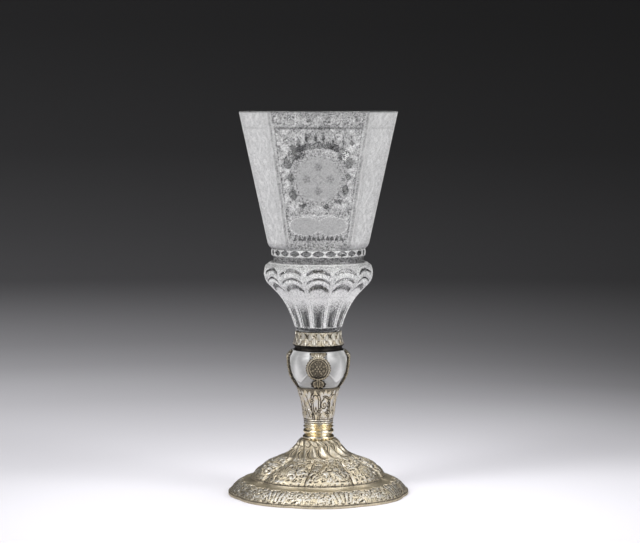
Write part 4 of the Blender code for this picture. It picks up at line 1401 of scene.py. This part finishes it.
# %% Chasing of the domed lobes
def flower_lobe(x, z):
    """A big flower between C-scrolls; z runs up from the lobe's lower edge."""
    sheet = Sheet(np.abs(x), z)
    sheet.flower((0.0, 12.5), 6.0, 6, 1.0)
    sheet.scroll((9.3, 8.6), 4.3, -70, 330, 0.95, 0.95)
    sheet.scroll((6.6, 20.0), 2.6, 200, -320, 0.75, 0.8)
    sheet.leaf((4.2, 7.4), -35, 7.5, 2.1, 0.85)
    sheet.leaf((5.4, 13.6), 25, 6.6, 1.9, 0.85)
    sheet.leaf((2.0, 17.6), 62, 6.5, 1.6, 0.8)
    sheet.leaf((10.4, 13.2), 70, 5.6, 1.5, 0.8)
    sheet.leaf((0.0, 6.4), -90, 4.6, 1.8, 0.8)
    return sheet.drawn


def shell_lobe(x, z):
    """A shell under a smaller flower."""
    sheet = Sheet(np.abs(x), z)
    sheet.shell((0.0, 6.2), 8.2, 9, 1.0, 90, 78)
    sheet.flower((0.0, 18.2), 3.9, 5, 0.9, 18)
    sheet.scroll((9.6, 12.0), 4.1, 250, -330, 0.9, 0.95)
    sheet.scroll((6.0, 5.4), 2.5, 90, -300, 0.75, 0.85)
    sheet.leaf((11.2, 6.4), 30, 5.6, 1.6, 0.8)
    sheet.leaf((6.6, 17.2), 55, 6.4, 1.7, 0.8)
    sheet.leaf((12.0, 9.0), -60, 6.0, 1.6, 0.8)
    sheet.leaf((3.8, 21.6), 70, 4.6, 1.2, 0.7)
    return sheet.drawn


def dome_chasing(rows):
    radius = np.hypot(rows[..., 0], rows[..., 1])
    turned = lobe_turn(foot_turn, radius)
    across = sawtooth(turned, lobes)
    x = across * math.pi / lobes * radius / mm
    z = lengths_along(rows)
    odd = np.mod(np.floor(turned / (2 * math.pi / lobes) + 0.5), 2) > 0.5
    motifs = np.where(odd, shell_lobe(x, z), flower_lobe(x, z))
    foliage = 0.6 * curls(x, z, 2.1) ** 0.8
    edge = 0.65 * hump(z, 2.1, 0.5)
    small_gadroons = 0.5 * np.abs(np.cos(x * math.pi / 2.3)) * hump(z, 0.8, 0.7)
    relief = np.maximum.reduce([motifs, foliage, edge + 0 * x, small_gadroons])
    ridge = 0.8 * hump(np.abs(across), 0.86, 0.025)
    seam = smooth_step(np.abs(across), 0.93, 0.99)
    relief = np.maximum(relief, ridge) * (1 - seam)
    broad = curls(x + 3.0, z, 8.5)
    relief = relief * (0.75 + 0.35 * broad)
    # Painted shade, with tarnish in the narrow hollows: darker between the broad lumps, along each motif's
    # rim and in a crescent along the dome's lower edge.
    shade_between_lumps = 0.22 * (1 - smooth_step(broad, 0.10, 0.55))
    shade = np.maximum.reduce([crevices(relief) + shade_between_lumps, 0.92 * rims(motifs),
                               0.95 * hump(z, 0.0, 1.0) + 0 * x])
    return relief, np.clip(shade, 0, 1)


# %% Chasing of the flange and the bell
def flange_chasing(rows):
    """Shells between flowers and scrolls on the sloping flange; z runs up from the rim."""
    radius = np.hypot(rows[..., 0], rows[..., 1])
    x = sawtooth(foot_turn, lobes, flange_turn) * math.pi / lobes * radius / mm
    z = lengths_along(rows)
    sheet = Sheet(np.abs(x), z)
    sheet.scroll((9.4, 7.0), 3.0, 180, 320, 0.7, 0.8)
    sheet.scroll((12.0, 3.8), 2.0, 20, 300, 0.6, 0.7)
    sheet.flower((16.6, 6.4), 3.3, 6, 0.85)
    sheet.leaf((13.0, 8.6), 25, 4.6, 1.3, 0.7)
    sheet.leaf((17.0, 3.2), 160, 4.6, 1.3, 0.7)
    sheet.leaf((18.6, 9.4), 10, 4.0, 1.2, 0.7)
    sheet.leaf((19.6, 4.2), 30, 4.0, 1.2, 0.7)
    fan = np.abs(np.cos(x * math.pi / 2.1 * (0.55 + 0.45 * (12.3 - z) / 12.3)))
    on_shell = (1 - smooth_step(np.abs(x), 6.6, 7.6)) * smooth_step(z, 1.4, 2.2)
    on_shell = on_shell * (1 - smooth_step(z, 9.5, 10.6))
    foliage = 0.6 * curls(1.1 * x, z, 2.2) ** 0.8
    low_edge = 0.5 * hump(z, 0.7, 0.4) * (0.6 + 0.4 * np.cos(x * 4.4))
    wave = 0.9 * np.cos(x * 0.52) + 0.4 * np.cos(x * 1.5) + 0.3 * np.sin(x * 2.9 + 5 * foot_turn)
    smooth_top = smooth_step(z - wave, 10.9, 11.5)
    motifs = np.maximum(sheet.drawn, 0.75 * fan ** 0.8 * on_shell)
    relief = np.maximum.reduce([motifs, foliage, low_edge + 0 * x, smooth_top])
    # Darker along each motif's rim, as painted shade with tarnish, and darker along the rim's lower edge.
    shade = np.maximum.reduce([crevices(relief), 0.90 * rims(sheet.drawn),
                               0.95 * hump(z, 0.0, 0.9) + 0 * x])
    return relief, np.where(smooth_top > 0.9, 0.46, shade)


def bell_chasing(share):
    """Swirling smooth tongues outlined by a sunk line, and small leaf tips at the top."""
    swirl = bell_swirl * share + 6 * np.sin(2 * math.pi * share)
    across = np.abs(sawtooth(foot_turn, gadroons, swirl * deg))
    edge = 0.40 * hump(across, 0.78, 0.07)
    seam = -0.55 * hump(across, 1.0, 0.09)
    leaf_tip = smooth_step(0.34 - 0.22 * across ** 2 - share, -0.01, 0.01) * (0.75 - 0.5 * across ** 2)
    lip = 0.5 * hump(share, 0.93, 0.04)
    lines = hump(across, 1.0, 0.16) + 0.95 * hump(across, 0.64, 0.06)
    lines = np.maximum(lines, 0.9 * hump(share - 0.36 + 0.22 * across ** 2, 0.0, 0.03))
    relief = np.maximum((edge + seam) * np.sin(math.pi * np.clip(share, 0, 1)) ** 0.3 + lip, leaf_tip)
    return relief, np.clip(0.40 + 0.6 * lines, 0, 1)


# %% Build the foot
def foot_outside():
    """Rows from the flange's edge up to the foot's top, the dark of their hollows and how busy they are."""
    dome = dome_rows(np.linspace(1, 0, 52)[1:, None])
    bell_share = np.linspace(1, 0, 28)[1:, None]
    flange = flange_rows(np.linspace(0.995, 0, 30)[:, None])
    cove = cove_rows(np.linspace(1, 0, 6)[1:, None])
    on_flange, flange_shade = flange_chasing(flange)
    on_dome, dome_shade = dome_chasing(dome)
    on_bell, bell_shade = bell_chasing(bell_share)
    sunk = 0.62 * (on_flange - 1)
    sunk[0] = 0.0
    between_lobes = valley(foot_turn, dome_radius) * np.linspace(0.5, 1, len(cove))[:, None]
    relief = np.concatenate([sunk, -0.25 * between_lobes * curls(90 * foot_turn, 0.0, 2.6),
                             1.05 * on_dome, 0.80 * on_bell])
    rows = np.concatenate([flange, cove, dome, bell_rows(bell_share)])
    shade = np.concatenate([flange_shade, 0.46 + 0.2 * between_lobes, dome_shade, bell_shade])
    busy = np.concatenate([0.6 * (flange_shade != 0.46), 0.6 * between_lobes, np.full(on_dome.shape, 0.5),
                           0.12 + 0 * on_bell])
    return rows + outward(rows) * relief[..., None] * mm, shade, busy


def make_foot():
    outside, shade, busy = foot_outside()
    edge = foot_radius - 0.05 * mm - 1.5 * mm * valley(foot_turn, foot_radius)
    milled = 0.22 * mm * np.abs(np.sin(120 * foot_turn))
    ground = [place(foot_turn, edge - 2.6 * mm, 0.0), place(foot_turn, edge, 0.0),
              place(foot_turn, edge - milled, 1.0 * mm)]
    guide = np.concatenate([bell_rows(np.array([0.0, 0.05, 0.3, 0.65, 0.95])[:, None], True),
                            dome_rows(np.array([0.05, 0.3, 0.55, 0.8, 1.0])[:, None]),
                            flange_rows(np.array([0.1, 0.5, 0.75, 0.9])[:, None])])
    inside = (guide + outward(guide) * foot_sheet)[1:-1]
    grid = np.concatenate([inside, *ground, outside])
    below = np.full((len(inside) + len(ground), foot_columns), 0.6)
    return skin("chased_foot", grid, {"hollow": np.concatenate([below, shade]),
                                      "busy": np.concatenate([0 * below, busy])})


dress(make_foot(), chased_gilt, "foot")

# %% [markdown]
# ## The studio
# The cup stands on a pale paper sweep with a painted pool of light round it, which fades away from it,
# falls a little more to the right as painted shade, and runs up into a dark wall, so that clear glass reads
# against the dark and the mounts against the light. The sweep is turned, and every view has the same
# ground. Large soft lights stand inside it.


# %% Floor and wall
def paper():
    """Paper with a painted pool of light: its tone falls with the distance from the cup, and painted shade
    makes it fall a little more to the right.
    """
    material, at, output = new_finish("studio_paper")
    x = at.make("ShaderNodeSeparateXYZ", [at])
    y = x.other(1) + 0.08
    reach = 2.6
    away = (at.maths("SQRT", x * x + y * y) + x.other(2)) * (1 / reach)
    # Painted pool of light: bright round the cup, fading with distance into the dark wall.
    painted_light_tones = [(0.00, 0.94), (0.065, 0.73), (0.10, 0.60), (0.135, 0.50), (0.165, 0.43), (0.205, 0.34),
             (0.245, 0.28), (0.30, 0.212), (0.37, 0.168), (0.55, 0.124), (0.68, 0.094), (0.79, 0.058),
             (0.89, 0.028), (1.00, 0.016)]
    colour = at.make("ShaderNodeValToRGB", [away],
                     stops=[(spot, (tone, 0.985 * tone, 1.04 * tone)) for spot, tone in painted_light_tones])
    # Painted shade: the tone falls further to the right, more so away from the cup.
    slope = away.between(0.10, 0.25) * (1.6 - 0.9 * away.between(0.34, 0.80))
    uneven = 1.7 - 1.4 * (x * slope).between(-0.7, 0.7)
    shaded = at.make("ShaderNodeVectorMath", {0: colour, "Scale": uneven}, operation="SCALE")
    shader = at.make("ShaderNodeBsdfPrincipled", {"Base Color": shaded, "Roughness": 0.9})
    return finish_with(material, output, shader)


def make_stage():
    flat, bend = 1.7, 0.45
    angle = np.linspace(0.1, math.pi / 2, 12)
    radii = np.concatenate([np.geomspace(0.03, flat, 60), flat + bend * np.sin(angle), [flat + bend]])
    heights = np.concatenate([np.zeros(60), bend * (1 - np.cos(angle)), [2.6]])
    grid = np.stack([place(turns(96), radius, height) for radius, height in zip(radii, heights)])
    number, following = row_numbers(grid)
    quads = np.stack([number[:-1], number[1:], following[1:], following[:-1]], axis=-1).reshape(-1, 4)
    mesh = bpy.data.meshes.new("studio_sweep")
    mesh.from_pydata(grid.reshape(-1, 3).tolist(), [], quads.tolist() + [number[0].tolist()])
    mesh.shade_smooth()
    mesh.materials.append(paper())
    sweep = new_object("studio_sweep", mesh)


make_stage()


# %% Lights
def soft_light(name, position, target, size, power):
    light = bpy.data.lights.new(name, "AREA")
    light.shape = "RECTANGLE"
    light.size, light.size_y = size
    light.energy = power
    holder = new_object(name, light)
    holder.location = position
    direction = Vector(target) - Vector(position)
    holder.rotation_euler = direction.to_track_quat("-Z", "Y").to_euler()


middle = (0, 0, 0.13)
soft_light("key_left", (-1.0, -0.9, 1.1), middle, (0.7, 0.9), 23)
soft_light("fill_right", (1.1, -0.7, 0.7), middle, (0.7, 1.2), 16)
soft_light("top", (0.1, 0.3, 1.6), middle, (1.0, 1.0), 16)
world = bpy.data.worlds.new("dim_room")
world.use_nodes = True
world.node_tree.nodes["Background"].inputs["Color"].default_value = (0.36, 0.36, 0.37, 1)
world.node_tree.nodes["Background"].inputs["Strength"].default_value = 0.5
bpy.context.scene.world = world
bpy.context.scene.view_settings.view_transform = "Standard"

# %% [markdown]
# ## Camera
# The rim shows as a straight line in the photograph, so the camera stands at the height of the rim. It is
# 1.3 m away and looks down a little, which puts the rim where the photograph has it.

# %% Camera
photo_width, photo_rim_row, photo_middle_row = 640, 111.0, 271.5
camera_distance = 1.308
pixels_per_radian = 2102.0
tilt = math.atan((photo_middle_row - photo_rim_row) / pixels_per_radian)
lens = bpy.data.cameras.new("camera")
lens.sensor_width = 36.0
lens.lens = lens.sensor_width * pixels_per_radian / photo_width
camera = new_object("camera", lens)
camera.location = (1.0 * mm, -camera_distance, rim_height)
camera.rotation_euler = (math.pi / 2 - tilt, 0, 0)
bpy.context.scene.camera = camera
print("lens", round(lens.lens, 1), "mm, looking down", round(tilt / deg, 2), "degrees")
